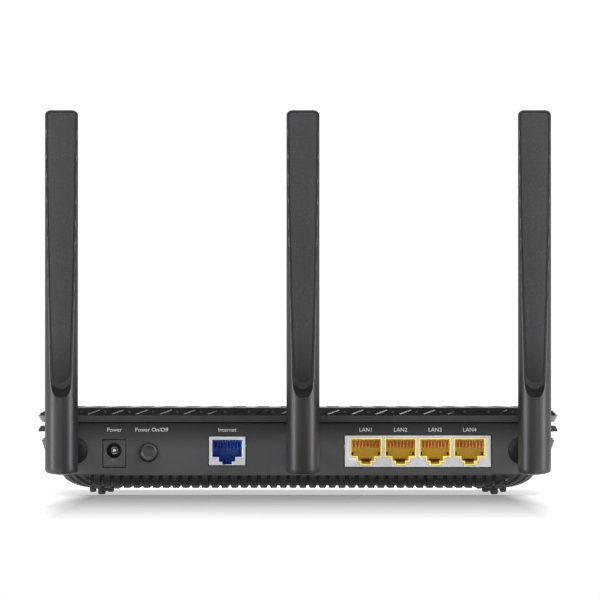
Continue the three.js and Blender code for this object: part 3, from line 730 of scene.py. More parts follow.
def ribbed_case():
    """The lower case, with the grooves that fan round its corners and run along its sides."""
    pitch = sizes().rib_pitch / MM
    short_ribs = round((FRONT_Y - REAR_Y - BAND_INSET - 2 * CASE_CORNER) / pitch)
    nx, ny, nc = 48, short_ribs * RIB_STEPS, 4 * RIB_STEPS
    total = 2 * (nx + ny) + 4 * nc
    side = np.zeros(total)
    side[nx:nx + nc + ny + nc] = 1
    side[-(nc + ny + nc):] = 1
    start = np.where(np.arange(total) < nx + 2 * nc + ny, nx, 2 * nx + 2 * nc + ny)
    phase = ((np.arange(total) - start) % RIB_STEPS) / RIB_STEPS
    groove = np.clip(1 - (np.minimum(phase, 1 - phase) / 0.2) ** 2, 0, 1) * side
    rise = np.zeros(total)
    for first, last in ((nx, nx + ny + 2 * nc), (total - ny - 2 * nc, total)):
        along = np.arange(last - first)
        edge = np.minimum(along, along[::-1])
        rise[first:last] = np.clip(edge / nc, 0, 1)
    rib_top = BAND_FOOT_Z + 0.2 + RIB_RISE * rise

    def ring(z, inward=0.0):
        inset = case_inset(z) + inward
        rear = case_rear(z) + inward
        radius = max(1.0, CASE_CORNER - inward)
        flat = outline(HALF_WIDTH - inset, rear, FRONT_Y - inset, radius, nx, ny, nc)
        return np.column_stack([flat, np.full(total, z)])

    def neck(z, inward=0.0):
        flat = outline(
            HALF_WIDTH - NECK_INSET - inward, REAR_Y + inward, FRONT_Y - NECK_INSET - inward,
            CASE_CORNER - inward, nx, ny, nc)
        return np.column_stack([flat, np.full(total, z)])

    depth = sizes().rib_depth / MM
    rings = []
    for inward, share in ((16.0, 0.0), (9.0, 0.6), (4.0, 1.0), (0.0, 1.0)):
        r = ring(UNDERSIDE_Z, inward)
        r[:, 2] += depth * share * groove
        rings.append(r)
    heights = [2.95, 3.3, 3.8, 4.5, 5.3, 6.2, 7.0, 7.5, 8.0, 8.6, 9.4, 10.4, 11.4, 12.6]
    for z in heights:
        r = ring(z)
        lean = min(1.0, (z - UNDERSIDE_Z) / (BAND_FOOT_Z - UNDERSIDE_Z))
        share = np.clip((rib_top - z) / 0.9, 0, 1) * groove * depth
        centre = np.column_stack([np.clip(r[:, 0], -80, 80), np.clip(r[:, 1], REAR_Y + 14, FRONT_Y - 26)])
        towards = centre - r[:, :2]
        towards /= np.maximum(np.linalg.norm(towards, axis=1, keepdims=True), 1e-6)
        out = math.sin(lean * math.pi / 2)
        r[:, :2] += towards * (share * max(out, 0.3))[:, None]
        r[:, 2] += share * math.cos(lean * math.pi / 2)
        rings.append(r)
    for z in (SHOULDER_Z - 0.6, SHOULDER_Z, SHOULDER_Z + 0.6, LIP_Z - 0.3, LIP_Z):
        rings.append(ring(z))
    rings += [neck(LIP_Z + 0.01), neck(NECK_TOP_Z), neck(NECK_TOP_Z, WALL), neck(LIP_Z - WALL, WALL)]
    rings += [ring(z, WALL) for z in (LIP_Z - 2.4, SHOULDER_Z, 9.0, 5.6)]
    return lofted("lower_case", rings, "case_plastic", 50.0)


def rounded_prism(x0, x1, y0, y1, z0, z1, low_radius, steps=10):
    """A plate standing on its edge, from y0 to y1, with its lower corners rounded."""
    points = [(x1, z1), (x0, z1)]
    for x, start in ((x0 + low_radius, math.pi), (x1 - low_radius, 1.5 * math.pi)):
        for k in range(steps + 1):
            t = start + k / steps * math.pi / 2
            points.append((x + low_radius * math.cos(t), z0 + low_radius + low_radius * math.sin(t)))
    rings = [[(x, y, z) for x, z in points] for y in (y1, y0)]
    return loft_parts(rings)


# ---- operators


def groove_tools():
    """Bodies that cut the straight grooves, from the rear wall's foot under the case to the front."""
    pitch, depth = sizes().rib_pitch / MM, sizes().rib_depth / MM
    heights = [BAND_FOOT_Z - share * (BAND_FOOT_Z - UNDERSIDE_Z) for share in FALL_STEPS]
    rear = [(case_rear(z), z) for z in heights]
    front = [(FRONT_Y - case_inset(z), z) for z in reversed(heights)]
    path = np.array([(REAR_Y, BAND_FOOT_Z + 0.5), *rear, *front])
    along = np.gradient(path, axis=0)
    along /= np.linalg.norm(along, axis=1, keepdims=True)
    inwards = np.column_stack([-along[:, 1], along[:, 0]])
    deep = np.ones(len(path))
    deep[0] = deep[-1] = 0.0

    def section(x, share):
        inner = path + inwards * (deep * depth * share - (1 - share) * 0.1)[:, None]
        outer = path - inwards * 1.2
        return [(x, y, z) for y, z in np.concatenate([outer, inner[::-1]])]

    count = 2 * int((HALF_WIDTH - 21.5) / pitch) + 1
    tools = []
    for i in range(count):
        x = (i - (count - 1) / 2) * pitch
        slices = ((-0.8, 0.0), (-0.45, 1.0), (0.45, 1.0), (0.8, 0.0))
        tools.append(loft_parts([section(x + offset, share) for offset, share in slices]))
    return tools


class ROUTER_OT_lower_case(bpy.types.Operator):
    """Makes the ribbed lower case with its openings"""

    bl_idname = "router.lower_case"
    bl_label = "Lower case"

    def execute(self, context):
        case = ribbed_case()
        seam = 0.02
        half = PANEL_HIGH[0] + seam
        button = (HALF_WIDTH - 6, middle_of("side_button")[1], SIDE_BUTTON_Z)
        tools = [
            rounded_prism(
                -half, half, REAR_Y - 2, REAR_Y + 9, PANEL_LOW[2] - seam, NECK_TOP_Z + 1, PANEL_CORNER),
            block(*STATUS_WINDOW),
            turned([(SIDE_BUTTON_HOLE, -20), (SIDE_BUTTON_HOLE, 10)], button, "x"),
        ]
        for side in ("left", "right"):
            x, _, z = joint_place(side, "swivel")
            tools.append(turned([(SHAFT_HOLE, -2), (SHAFT_HOLE, 8)], (x, REAR_Y, z)))
        for i in range(-6, 7):
            x = i * VENT_PITCH
            for y in VENT_ROWS:
                tools.append(block(x - VENT_HALF_WIDTH, x + VENT_HALF_WIDTH, y, y + VENT_LENGTH, 1.0, 7.0))
        cut(case, groove_tools(), 50.0)
        cut(case, tools, 50.0)
        # The ribbed band below the ribs' top keeps the darker case plastic as painted shade; the rear faces
        # above take the panel's plastic.
        also_finished(
            case, "panel_plastic", lambda face: face.normal.y < -0.6 and face.center.z > RIBS_TOP_Z * MM)
        settle(case, "housing", "casing", "bottom_case")
        return {"FINISHED"}


COVER_EDGE_Z = 32.2
TOP_BARS = (20, 14)


class ROUTER_OT_cover(bpy.types.Operator):
    """Makes the polished cover and its slanted relief"""

    bl_idname = "router.cover"
    bl_label = "Top cover"

    def execute(self, context):
        def ring(z, inset, radius):
            rear = COVER_LOW[1] - 0.2 + inset
            flat = outline(HALF_WIDTH - inset, rear, FRONT_Y - inset, radius, 60, 40, 24)
            return np.column_stack([flat, np.full(len(flat), z)])

        edge = COVER_EDGE_Z
        rings = [
            ring(33.4, 9.0, 6.0), ring(30.0, 8.6, 7.0), ring(29.62, 8.2, 7.0),
            ring(29.6, 1.9, 12.0), ring(29.9, 1.55, 12.0),
            ring(edge - 0.12, 0.3, 13.0), ring(edge, 0.22, 13.0), ring(edge + 0.1, 0.34, 13.0),
            ring(34.95, 5.1, 10.0), ring(35.25, 6.0, 9.5), ring(35.45, 8.0, 9.0), ring(35.55, 12.0, 8.0),
            ring(35.6, 20.0, 6.0),
        ]
        cover = lofted("cover", rings, "cover_plastic", 24.0)
        # Faces under the cover's edge take the lighter matte plastic as a painted reflection of the table
        # below.
        also_finished(cover, "ledge_plastic", lambda face: face.normal.z < -0.2)
        settle(cover, "housing", "cover", "top_cover")
        self.relief()
        return {"FINISHED"}

    def bar(self, length, rise, lean, width, height, sink=0.25):
        """A slanted bar with bevelled flanks on a face that climbs inwards."""
        w, c = width / 2, width / 6
        verts = []
        for t in (0.0, 1.0):
            x = (t - 0.5) * lean
            y = 0.7 + t * length
            z = 0.25 + t * rise
            verts += [(x - w, y, z - sink), (x + w, y, z - sink)]
            verts += [(x + c, y, z + height), (x - c, y, z + height)]
        faces = [(0, 1, 2, 3), (7, 6, 5, 4), (0, 4, 5, 1), (1, 5, 6, 2), (2, 6, 7, 3), (3, 7, 4, 0)]
        return verts, faces

    def stud(self, y, z, size, height):
        base = [(-size, y - size, z - 0.3), (size, y - size, z - 0.3),
                (size, y + size, z - 0.1), (-size, y + size, z - 0.1)]
        return base + [(0, y, z + height)], [(3, 2, 1, 0), (0, 1, 4), (1, 2, 4), (2, 3, 4), (3, 0, 4)]

    def relief(self):
        pitch = sizes().relief_pitch / MM
        height = sizes().relief_height / MM
        rim = outline(HALF_WIDTH - 0.25, COVER_LOW[1] + 0.05, FRONT_Y - 0.25, 12.8, 40, 30, 12)
        curve = bpy.data.curves.new("rim_line", "CURVE")
        curve.dimensions = "3D"
        line = curve.splines.new("POLY")
        line.points.add(len(rim) - 1)
        for point, (x, y) in zip(line.points, rim):
            point.co = (x * MM, y * MM, COVER_EDGE_Z * MM, 1.0)
        line.use_cyclic_u = True
        count = round(np.linalg.norm(rim - np.roll(rim, 1, 0), axis=1).sum() / pitch)
        bar_verts, bar_faces = self.bar(2.9, 1.6, 4.6, 1.5, height)
        stud_verts, stud_faces = self.stud(2.6, 1.5, 0.7, height)
        shifted = [(x + pitch / 2, y, z) for x, y, z in stud_verts]
        item = joined([(bar_verts, bar_faces), (shifted, stud_faces)])
        bars = repeated("rim_relief", item, "cover_plastic", {"Count": count}, curve, 20.0)
        settle(bars, "housing", "cover")
        flat = [(x, y - 2.8, 0.0 if z < 0.1 else 0.3) for x, y, z in self.bar(4.4, 0.0, 4.4, 1.5, height)[0]]
        place = (0.0, (COVER_LOW[1] + FRONT_Y) / 2, 35.4)
        values = grid_values(TOP_BARS[0], pitch, place, TOP_BARS[1])
        top = repeated("top_relief", (flat, bar_faces), "cover_plastic", values, smooth_angle=20.0)
        settle(top, "housing", "cover")


LABEL_Z = 0.0264
SIZE_OF_CAPITAL = 1.52  # text size for a capital letter one unit high


class ROUTER_OT_rear_panel(bpy.types.Operator):
    """Makes the rear panel and prints its labels"""

    bl_idname = "router.rear_panel"
    bl_label = "Rear panel"

    def execute(self, context):
        dressed("rear_panel", "socket_panel", "housing", "panel", "panel_plastic", 0.0)
        labels = {f"LAN{i}": f"lan_jack_housing_{i}" for i in range(1, 5)}
        labels |= {"Internet": "wan_jack_housing", "Power": "power_jack"}
        for words, node in labels.items():
            self.label(words, middle_of(node)[0])
        self.label("Power On/Off", middle_of("power_button")[0] + 1.2)
        return {"FINISHED"}

    def label(self, words, x):
        text = bpy.data.curves.new("label", "FONT")
        text.body = words
        text.align_x, text.align_y = "CENTER", "CENTER"
        text.size = sizes().label_height * SIZE_OF_CAPITAL
        text.extrude = 0.00001
        shown = linked("label", text)
        mesh = baked(shown)
        bpy.data.objects.remove(shown)
        place = (x * MM, (REAR_Y - 0.012) * MM, LABEL_Z)
        mesh.transform(Matrix.Translation(place) @ Matrix.Rotation(math.pi / 2, 4, "X"))
        obj = linked("label_" + words.lower().replace(" ", "_").replace("/", "_"), mesh)
        mesh.materials.clear()
        mesh.materials.append(finish("label_ink"))
        settle(obj, "housing", "white_parts")


class ROUTER_OT_trim(bpy.types.Operator):
    """Makes the bright band round the sides and front, and the light guide"""

    bl_idname = "router.trim"
    bl_label = "Trim band"

    def execute(self, context):
        dressed("trim_band", "bright_band", "housing", "chrome", "bright_trim", 0.25, 3)
        dressed("light_guide", "status_window", "housing", "light_guide", "smoked_guide", 0.15, 2)
        return {"FINISHED"}


class ROUTER_OT_sockets(bpy.types.Operator):
    """Makes the network sockets, their shields and their contacts"""

    bl_idname = "router.sockets"
    bl_label = "Network sockets"

    def execute(self, context):
        dressed("lan_jack_shield", "lan_shield", "housing", "steel", "socket_shell", 0.08, 1)
        dressed("wan_jack_shield", "wan_shield", "housing", "steel", "socket_shell", 0.08, 1)
        for i in range(1, 5):
            housing = f"lan_jack_housing_{i}"
            socket = dressed(housing, f"lan_socket_{i}", "housing", "yellow_plastic", "lan_plastic", 0.12, 2)
            self.notch_shades(f"lan_latches_{i}", f"lan_jack_contacts_{i}")
            # Front faces at the opening take the paler yellow as painted light.
            also_finished(
                socket, "lan_rim", lambda face: face.normal.y < -0.5 and face.center.y / MM < REAR_Y + 1)
            self.contacts(f"lan_jack_contacts_{i}", f"lan_contacts_{i}", "gold_wire", "comb_plastic")
        dressed("wan_jack_housing", "wan_socket", "housing", "blue_plastic", "wan_plastic", 0.12, 2)
        self.contacts("wan_jack_contacts", "wan_contacts", "bright_wire", "comb_blue")
        return {"FINISHED"}

    def notch_shades(self, name, contacts):
        """Dark blocks on a socket's back wall, in its corners and behind its tab, past the plug's end:
        painted shade standing in for the slots' dark hollows.
        """
        x, top = middle_of(contacts)[0], mm_box(contacts)[1][2]
        front, back = REAR_Y + 14.5, REAR_Y + 15.05
        parts = []
        for corner in (x - 5.35, x + 5.35):
            parts.append(block(corner - 0.4, corner + 0.4, front, back, top - 6.2, top - 5.0))
        parts.append(block(x - 2.2, x + 2.2, front, back, top - 9.0, top - 7.7))
        settle(piece_from(name, *joined(parts), "latch_plastic"), "housing", "yellow_plastic")

    def contacts(self, node, name, wire_finish, comb_finish):
        """Eight sprung wires that slope down and back between the teeth of a comb."""
        x = middle_of(node)[0]
        top = mm_box(node)[1][2] + 0.05
        front = REAR_Y + 1.6
        wire = 0.36
        pitch = 1.36
        slope = [(0.0, 0.25), (1.5, 0.55), (6.5, 3.1), (11.5, 3.4)]
        ring = [(-wire / 2, -wire / 2), (wire / 2, -wire / 2), (wire / 2, wire / 2), (-wire / 2, wire / 2)]
        rows = [[(dx, y, -drop + dz) for dx, dz in ring] for y, drop in reversed(slope)]
        wires = repeated(name, loft_parts(rows), wire_finish, grid_values(8, pitch, (x, front, top)))
        settle(wires, "housing", "gold", node)
        tooth = block(-0.17, 0.17, 0.0, 9.0, -3.3, 0.0)
        values = grid_values(9, pitch, (x, front + 0.5, top))
        comb = repeated(name + "_comb", tooth, comb_finish, values)
        settle(comb, "housing", "gold")
        carrier = block(x - 5.8, x + 5.8, front + 5.5, front + 6.2, top - 3.5, top + 0.1)
        back = piece_from(name + "_carrier", *carrier, comb_finish)
        settle(back, "housing", "gold")


JACK_HOLE = 3.1
BUTTON_RADIUS = 3.6


class ROUTER_OT_power(bpy.types.Operator):
    """Makes the power socket, the power button and the side button"""

    bl_idname = "router.power"
    bl_label = "Power socket and buttons"

    def execute(self, context):
        dressed("power_jack", "power_socket", "housing", "chip", "panel_plastic", 0.1, 1)
        low, high = mm_box("power_jack_pin")
        x, _, z = middle_of("power_jack_pin")
        r, length = (high[0] - low[0]) / 2, high[1] - low[1]
        profile = [(0, 0), (r * 0.3, 0.03), (r * 0.7, 0.25), (r * 0.92, 0.6), (r, 1.1), (r, 8.4),
                   (1.7, 8.4), (1.7, length), (0, length)]
        pin = turned(profile, (x, low[1], z), around=32)
        settle(piece_from("socket_pin", *pin, "tinned_steel"), "housing", "steel", "power_jack_pin")
        outer, inner, around = JACK_HOLE + 0.02, JACK_HOLE - 0.25, 48
        profile = [(outer, 0.3), (outer, 9.2), (1.5, 9.2), (1.5, 9.0), (inner, 9.0), (inner, 0.3),
                   (outer, 0.3)]
        verts, faces = turned(profile, (x, REAR_Y, z), around=around)
        without_caps = faces[:-2 * around]
        lined = piece_from("socket_liner", verts, without_caps, "jack_plastic")
        tidy_mesh(lined.data, 0.002)
        settle(lined, "housing", "chip")
        self.button()
        dressed("side_button", "side_push_button", "side_button", "casing", "case_plastic", 0.25, 2)
        return {"FINISHED"}

    def button(self):
        """A domed ring round a shallow dish, on a flange and stem."""
        low, high = mm_box("power_button")
        x, _, z = middle_of("power_button")
        face, r = low[1], BUTTON_RADIUS
        profile = [(0.0, 0.75), (1.2, 0.72), (2.1, 0.6), (2.45, 0.45), (2.6, 0.12), (2.8, 0.0), (2.95, 0.02),
                   (3.3, 0.35), (r, 0.95), (r, 1.6), (r, 4.1), (4.45, 4.1), (4.45, 4.7), (1.5, 4.7),
                   (1.5, high[1] - face), (0.0, high[1] - face)]
        body = turned(profile, (x, face, z), around=64)
        knob = piece_from("power_push_button", *body, "button_plastic", 50.0)
        tidy_mesh(knob.data, 0.0)
        settle(knob, "power_button", "casing", "power_button")


# The antenna's shape, measured from its hinge.
TUBE_RADIUS = 6.65
BLADE_TOP = 137.0
BLADE_BOTTOM = -9.7
SCOOP_START, SCOOP_LENGTH, SCOOP_DEPTH = 21.5, 5.0, 1.6
FACE_TOP = 1.8
BACK_START, BACK_TOP = 30, 3.2
PLATE_START = 27.6
PLATE_MARGIN = 0.7
PLATE_END = 3.5
TOP_ROUNDING = 2.7
FACE_ROUNDING = 4.3


def face_distance(z):
    """The flat face's distance from the tube's axis at a height above the hinge."""
    bend = SCOOP_START + SCOOP_LENGTH
    foot = TUBE_RADIUS - SCOOP_DEPTH
    if z <= SCOOP_START:
        return TUBE_RADIUS + 1
    if z < bend:
        return TUBE_RADIUS - SCOOP_DEPTH * math.sqrt(max(0.0, 1 - ((bend - z) / SCOOP_LENGTH) ** 2))
    return foot + (FACE_TOP - foot) * (z - bend) / (BLADE_TOP - bend)


def back_distance(z):
    """The back's distance from the axis: the full tube at the foot, thinning towards the top."""
    if z < BACK_START:
        return TUBE_RADIUS + 1
    return TUBE_RADIUS + (BACK_TOP - TUBE_RADIUS) * (z - BACK_START) / (BLADE_TOP + 1 - BACK_START)


def width_limit(z, half, top, radius):
    rise = z - (top - radius)
    if rise <= 0:
        return half
    return half - radius + math.sqrt(max(0.0, radius * radius - rise * rise))


def blade_ring(z, around=144, shrink=0.0):
    """A D-shaped section: the tube's circle, cut by the face, by the back and by the rounded top corners."""
    angles = np.linspace(0, 2 * math.pi, around, endpoint=False)
    c, s = np.cos(angles), np.sin(angles)
    limits = [np.full(around, TUBE_RADIUS)]
    wide = np.maximum(np.abs(c), 1e-6)
    limits.append(width_limit(z, TUBE_RADIUS, BLADE_TOP, TOP_ROUNDING) * 1.05 / wide)
    off_centre = np.minimum(np.abs(TUBE_RADIUS * c), FACE_ROUNDING)
    lifts = FACE_ROUNDING - np.sqrt(np.maximum(0.0, FACE_ROUNDING ** 2 - off_centre ** 2))
    faces = np.array([face_distance(z - lift) for lift in lifts])
    deep = np.where(s < 0, faces, back_distance(z))
    limits.append(deep / np.maximum(np.abs(s), 1e-6))
    power = 60.0
    stack = np.stack(limits) / TUBE_RADIUS
    radius = TUBE_RADIUS * (stack ** -power).sum(0) ** (-1 / power) - shrink
    return radius * c, radius * s


def antenna_shell(name, place):
    bend = SCOOP_START + SCOOP_LENGTH
    heights = list(np.linspace(-4.0, SCOOP_START, 10))
    heights += list(np.linspace(SCOOP_START, bend + 5.0, 34)[1:])
    heights += list(np.linspace(bend + 5.0, BLADE_TOP - 3.4, 30)[1:])
    bow = np.linspace(-0.1, math.pi / 2 - 0.12, 12)
    heights += list(BLADE_TOP - TOP_ROUNDING + TOP_ROUNDING * np.sin(bow))
    rings = []

    def bottom_z(x, y, h):
        reach = np.clip(1 - h / 5.7, 0, 1)
        dome = 1.1 * (x * x + y * y) / TUBE_RADIUS ** 2 - 0.75
        heel = 1.6 * (y + TUBE_RADIUS) / (2 * TUBE_RADIUS)
        return BLADE_BOTTOM + h + reach * (dome + heel)

    foot = ((0.15, 0.0), (0.5, 0.0), (0.8, 0.02), (0.93, 0.08), (0.98, 0.3), (1.0, 0.75), (1.0, 2.2),
            (1.0, 4.0))
    for rho, h in foot:
        x, y = blade_ring(0.0)
        rings.append(np.stack([x * rho, y * rho, bottom_z(x * rho, y * rho, h)], 1))
    for z in heights:
        x, y = blade_ring(z)
        rings.append(np.stack([x, y, np.full(len(x), z)], 1))
    x, y = blade_ring(BLADE_TOP - 0.05)
    for rho, z in ((0.97, BLADE_TOP), (0.5, BLADE_TOP)):
        rings.append(np.stack([x * rho, y * rho, np.full(len(x), z)], 1))
    shell = lofted(name, np.array(rings) + place, "antenna_plastic", 30.0)
    slot = block(-2.7, 2.7, -3.3, 8, -13, 3.3)
    pocket = face_plate_parts(0.1, 1.6, 0.85)
    tools = [(np.array(v) + place, f) for v, f in (slot, pocket)]
    return cut(shell, [(v.tolist(), f) for v, f in tools], 30.0)


def face_plate_parts(grow, out, deep):
    """The flat plate let into the face, or with some growth the pocket that takes it."""
    margin = PLATE_MARGIN - grow
    half = TUBE_RADIUS - margin
    low, high = PLATE_START - grow, BLADE_TOP - PLATE_MARGIN - 0.3 + grow
    heights = list(low + PLATE_END * (1 - np.cos(np.linspace(0, math.pi / 2, 16))))
    heights += list(np.linspace(low + PLATE_END, high - 2.1, 30)[1:])
    heights += list(high - 2.1 + 2.1 * np.sin(np.linspace(0, math.pi / 2, 9)))[1:]
    rings = []
    for z in heights:
        t = face_distance(z)
        w = math.sqrt(max(0.01, half * half - t * t))
        fall = max(0.0, low + PLATE_END - z)
        if fall:
            w = min(w, math.sqrt(max(0.0, PLATE_END ** 2 - fall * fall)))
        w = min(w, half, width_limit(z, half, high, 2.1))
        w = max(w, 0.3)
        rings.append([(-w, -t - out, z), (w, -t - out, z), (w, -t + deep, z), (-w, -t + deep, z)])
    return loft_parts(rings)


class ROUTER_OT_antennas(bpy.types.Operator):
    """Makes the three antennas, their face plates and their knuckles"""

    bl_idname = "router.antennas"
    bl_label = "Antennas"

    def execute(self, context):
        for side in SIDES:
            place = joint_place(side, "fold")
            shell = antenna_shell(f"{side}_antenna_tube", place)

            # Faces climbing out of the scoop take the darker copy of the antenna plastic: painted shade at
            # the foot of the face.
            def in_scoop(face):
                height = face.center.z / MM - place[2]
                climbs = SCOOP_START < height < PLATE_START + 4 and face.normal.z > 0.12
                return climbs and face.center.y / MM < place[1]

            also_finished(shell, "antenna_shade", in_scoop)
            settle(shell, f"{side}_blade", "antenna", f"antenna_{side}_shell")
            verts, faces = face_plate_parts(0.0, 0.0, 0.7)
            verts = (np.array(verts) + place).tolist()
            plate = piece_from(f"{side}_antenna_plate", verts, faces, "antenna_plate", 30.0)
            rounded_edges(plate, 0.14, 2, 40.0)
            settle(plate, f"{side}_blade", "antenna_face", f"antenna_{side}_face")
            self.knuckle(side, place)
        return {"FINISHED"}

    def knuckle(self, side, place):
        """A domed collar against the panel, a tongue that enters the tube, and the swivel's shaft."""
        x, _, z = joint_place(side, "swivel")
        plate = REAR_Y - 2.0
        dome = turned([(0.0, 0.0), (2.4, 0.05), (3.6, 0.25), (4.6, 0.7), (5.3, 1.3), (5.6, 1.7), (0.0, 1.7)],
                      (x, plate, z), around=64)
        shaft = turned([(0.0, 1.0), (2.85, 1.0), (2.85, 7.6), (0.0, 7.6)], (x, plate, z), around=32)
        r = 2.95
        profile = [(plate + 1.0, -r), (plate + 1.0, r)]
        for k in range(13):
            t = math.pi / 2 + k / 12 * math.pi
            profile.append((place[1] + r * math.cos(t), r * math.sin(t)))
        tongue = loft_parts([[(place[0] + dx, y, z + dz) for y, dz in profile] for dx in (-2.35, 2.35)])
        left, right = min(x, place[0]) - 0.1, max(x, place[0]) + 0.1
        bridge = block(left, right, plate + 0.6, plate + 1.7, z - 3.5, z + 3.5)
        # Its plastic is darkened as painted shade round the hinge.
        piece = piece_from(f"{side}_knuckle", *joined([dome, shaft, tongue, bridge]), "knuckle_plastic", 40.0)
        tidy_mesh(piece.data, 0.0)
        settle(piece, f"{side}_swivel", "casing", f"antenna_{side}_knuckle")


class ROUTER_OT_feet(bpy.types.Operator):
    """Makes the four rubber feet, each three rounded fins in line with the case's ribs"""

    bl_idname = "router.feet"
    bl_label = "Feet"

    def execute(self, context):
        for corner in CORNERS:
            x, y, _ = middle_of(f"foot_{corner}")
            top = mm_box(f"foot_{corner}")[1][2]
            parts = []
            for offset, width, sole in ((-3.62, 2.7, 0.95), (0.0, 3.1, 0.0), (3.62, 2.7, 0.95)):
                half = math.sqrt(max(1.0, 5.0 ** 2 - offset ** 2))
                rings = []
                for w, d, z in ((0.55, 0.72, sole), (0.85, 0.86, sole + 0.2), (1.0, 0.95, sole + 0.7),
                                (1.0, 1.0, 1.9), (1.0, 1.0, top)):
                    hx, hy = width / 2 * w, half * d
                    t = np.linspace(0, 2 * math.pi, 28, endpoint=False)
                    c, s = np.cos(t), np.sin(t)
                    px = x + offset + hx * np.sign(c) * np.abs(c) ** 0.45
                    py = y + hy * np.sign(s) * np.abs(s) ** 0.45
                    rings.append(np.stack([px, py, np.full(28, z)], 1))
                parts.append(loft_parts(rings))
            parts.append(turned([(4.9, 0.0), (4.9, top - 2.3)], (x, y, 2.3), "z"))
            foot = piece_from(f"{corner}_foot", *joined(parts), "foot_rubber", 45.0)
            tidy_mesh(foot.data, 0.0)
            settle(foot, "housing", "rubber", f"foot_{corner}")
        return {"FINISHED"}


class ROUTER_OT_inner_parts(bpy.types.Operator):
    """Finishes the screws, the board and everything that stands on it"""

    bl_idname = "router.inner_parts"
    bl_label = "Inner parts"

    def execute(self, context):
        paint("tinned_steel", *[f"screw_{c}" for c in CORNERS], "radio_shield_left", "radio_shield_right")
        paint("solder_mask", "main_board", *[f"antenna_{s}_radiator" for s in SIDES])
        paint("chip_resin", "processor", "lan_transformer", "wan_transformer", "power_switch", "side_switch")
        paint("raw_aluminium", "heat_sink")
        paint("lamp_white", "status_leds")
        paint("lead_sleeve", *[f"antenna_{s}_coax" for s in SIDES])
        for made in ("nut", "hinge_pin"):
            paint("tinned_steel", *[f"antenna_{s}_{made}" for s in SIDES])
        return {"FINISHED"}


# Each lamp's name, place, width and height, power, and the point that it faces.
LAMPS = (
    ("left_softbox", (-1.6, -0.75, 0.75), (0.5, 1.5), 35.0, (0, 0, 0.08)),
    ("right_softbox", (1.6, -0.75, 0.75), (0.5, 1.5), 35.0, (0, 0, 0.08)),
    ("overhead", (0.0, -0.45, 2.2), (3.0, 1.5), 20.0, (0, -0.3, 0.0)),
    ("key", (0.0, -2.3, 2.1), (1.6, 1.0), 30.0, (0, 0.0, 0.05)),
)
WORLD_STRENGTH = 0.1
SHEET_STRENGTH = 1.03
LENS, SENSOR = 439.0, 36.0
EYE = Vector((0.0008, -3.028, 0.042))
LOOK_AT = Vector((0.0008, REAR_Y * MM, 0.0789))
# Grey of the painted shadow on the floor under and in front of the body.
SHADOW_TONE = (0.27, 0.27, 0.275)


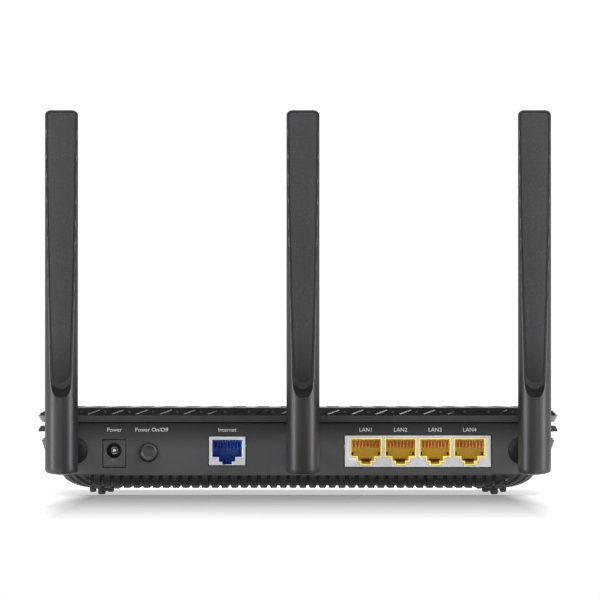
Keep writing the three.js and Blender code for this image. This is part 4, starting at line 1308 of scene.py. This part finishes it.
class ROUTER_OT_stage(bpy.types.Operator):
    """Makes the floor, the soft lights and the camera"""

    bl_idname = "router.stage"
    bl_label = "Stage"

    def execute(self, context):
        scene = context.scene
        self.floor()
        self.backdrop()
        for lamp in LAMPS:
            self.softbox(*lamp)
        world = bpy.data.worlds.new("studio")
        scene.world = world
        world.use_nodes = True
        back = world.node_tree.nodes["Background"]
        back.inputs["Color"].default_value = (1.0, 1.0, 1.0, 1.0)
        back.inputs["Strength"].default_value = WORLD_STRENGTH
        scene.view_settings.view_transform = "Standard"
        camera = bpy.data.cameras.new("camera")
        camera.lens, camera.sensor_width = LENS, SENSOR
        camera.clip_end = 50.0
        holder = linked("camera", camera)
        holder.location = EYE
        holder.rotation_euler = (LOOK_AT - EYE).to_track_quat("-Z", "Y").to_euler()
        scene.camera = holder
        return {"FINISHED"}

    def floor(self):
        """A white table top with a painted shadow, a soft grey patch under and in front of the body; under
        the body it glows as painted light, and where it is to stay pure white, it glows too.
        """
        mesh = bpy.data.meshes.new("floor")
        w = 9.0
        mesh.from_pydata([(-w, -w, 0), (w, -w, 0), (w, 5, 0), (-w, 5, 0)], [], [(0, 1, 2, 3)])
        f = Finish("table_top")
        soft = f.noise(f.place(), 6.0, 2.0)
        x, y = f.part(0), f.part(1)
        # The painted shadow: a grey patch that fades out sideways, forwards and behind the body.
        aside = f.span(f.sum("ABSOLUTE", x), 0.0, 1.0, 0.082, 0.112)
        before, behind = f.span(y * -1.0, 0.0, 1.0, 0.15, 0.8), f.span(y, 0.0, 1.0, 0.05, 0.12)
        clear_of_painted_shadow = f.larger(aside, f.larger(before, behind))
        # The glow: painted light on the floor under the body, rising further back and to the sides so that
        # the far floor reads pure white.
        white_and_painted_light = f.larger(aside, f.span(y, 0.0, 0.55, -0.07, -0.06) + f.span(y, 0.0, 0.6, 0.2, 0.7))
        tone = f.between(f.span(soft, 0.0, 1.0), (0.9, 0.9, 0.905), (0.94, 0.94, 0.945))
        base = f.between(clear_of_painted_shadow, SHADOW_TONE, tone)
        glow = f.between(white_and_painted_light, (0.0, 0.0, 0.0), (1.0, 1.0, 1.0))
        mesh.materials.append(f.surface(
            Base_Color=base, Roughness=f.span(soft, 0.55, 0.65), Emission_Color=glow, Emission_Strength=1.0))
        return linked("floor", mesh)

    def backdrop(self):
        """A lit white sheet behind the object."""
        mesh = bpy.data.meshes.new("backdrop")
        mesh.from_pydata([(-0.7, 5, -1), (0.7, 5, -1), (0.7, 5, 1.2), (-0.7, 5, 1.2)], [], [(0, 1, 2, 3)])
        f = Finish("lit_sheet")
        white = (1.0, 1.0, 1.0, 1.0)
        f.node_output(f.node("ShaderNodeEmission", inputs={"Color": white, "Strength": SHEET_STRENGTH}))
        mesh.materials.append(f.material)
        return linked("backdrop", mesh)

    def softbox(self, name, place, size, power, target):
        light = bpy.data.lights.new(name, "AREA")
        light.shape = "RECTANGLE"
        light.size, light.size_y = size
        light.energy = power
        obj = linked(name, light)
        obj.location = place
        obj.rotation_euler = (Vector(target) - Vector(place)).to_track_quat("-Z", "Y").to_euler()


class ROUTER_PT_panel(bpy.types.Panel):
    """Sizes, colours and the pieces in the order they are made"""

    bl_label = "Router"
    bl_idname = "ROUTER_PT_panel"
    bl_space_type = "VIEW_3D"
    bl_region_type = "UI"
    bl_category = "Router"

    def draw(self, context):
        for group in (context.scene.router_sizes, context.scene.router_colours):
            for key in group.bl_rna.properties.keys():
                if key not in ("rna_type", "name"):
                    self.layout.prop(group, key)
        for operator in PIECES:
            self.layout.operator(operator.bl_idname)


PIECES = (
    ROUTER_OT_stage, ROUTER_OT_lower_case, ROUTER_OT_cover, ROUTER_OT_rear_panel, ROUTER_OT_trim,
    ROUTER_OT_sockets, ROUTER_OT_power, ROUTER_OT_antennas, ROUTER_OT_feet, ROUTER_OT_inner_parts,
)
CLASSES = (RouterSizes, RouterColours, *PIECES, ROUTER_PT_panel)


def register():
    for cls in CLASSES:
        bpy.utils.register_class(cls)
    bpy.types.Scene.router_sizes = PointerProperty(type=RouterSizes)
    bpy.types.Scene.router_colours = PointerProperty(type=RouterColours)


def unregister():
    del bpy.types.Scene.router_sizes
    del bpy.types.Scene.router_colours
    for cls in reversed(CLASSES):
        bpy.utils.unregister_class(cls)


def main():
    """Registers the add-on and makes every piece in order."""
    register()
    for operator in PIECES:
        group, name = operator.bl_idname.split(".")
        getattr(getattr(bpy.ops, group), name)()


if __name__ == "__main__":
    main()
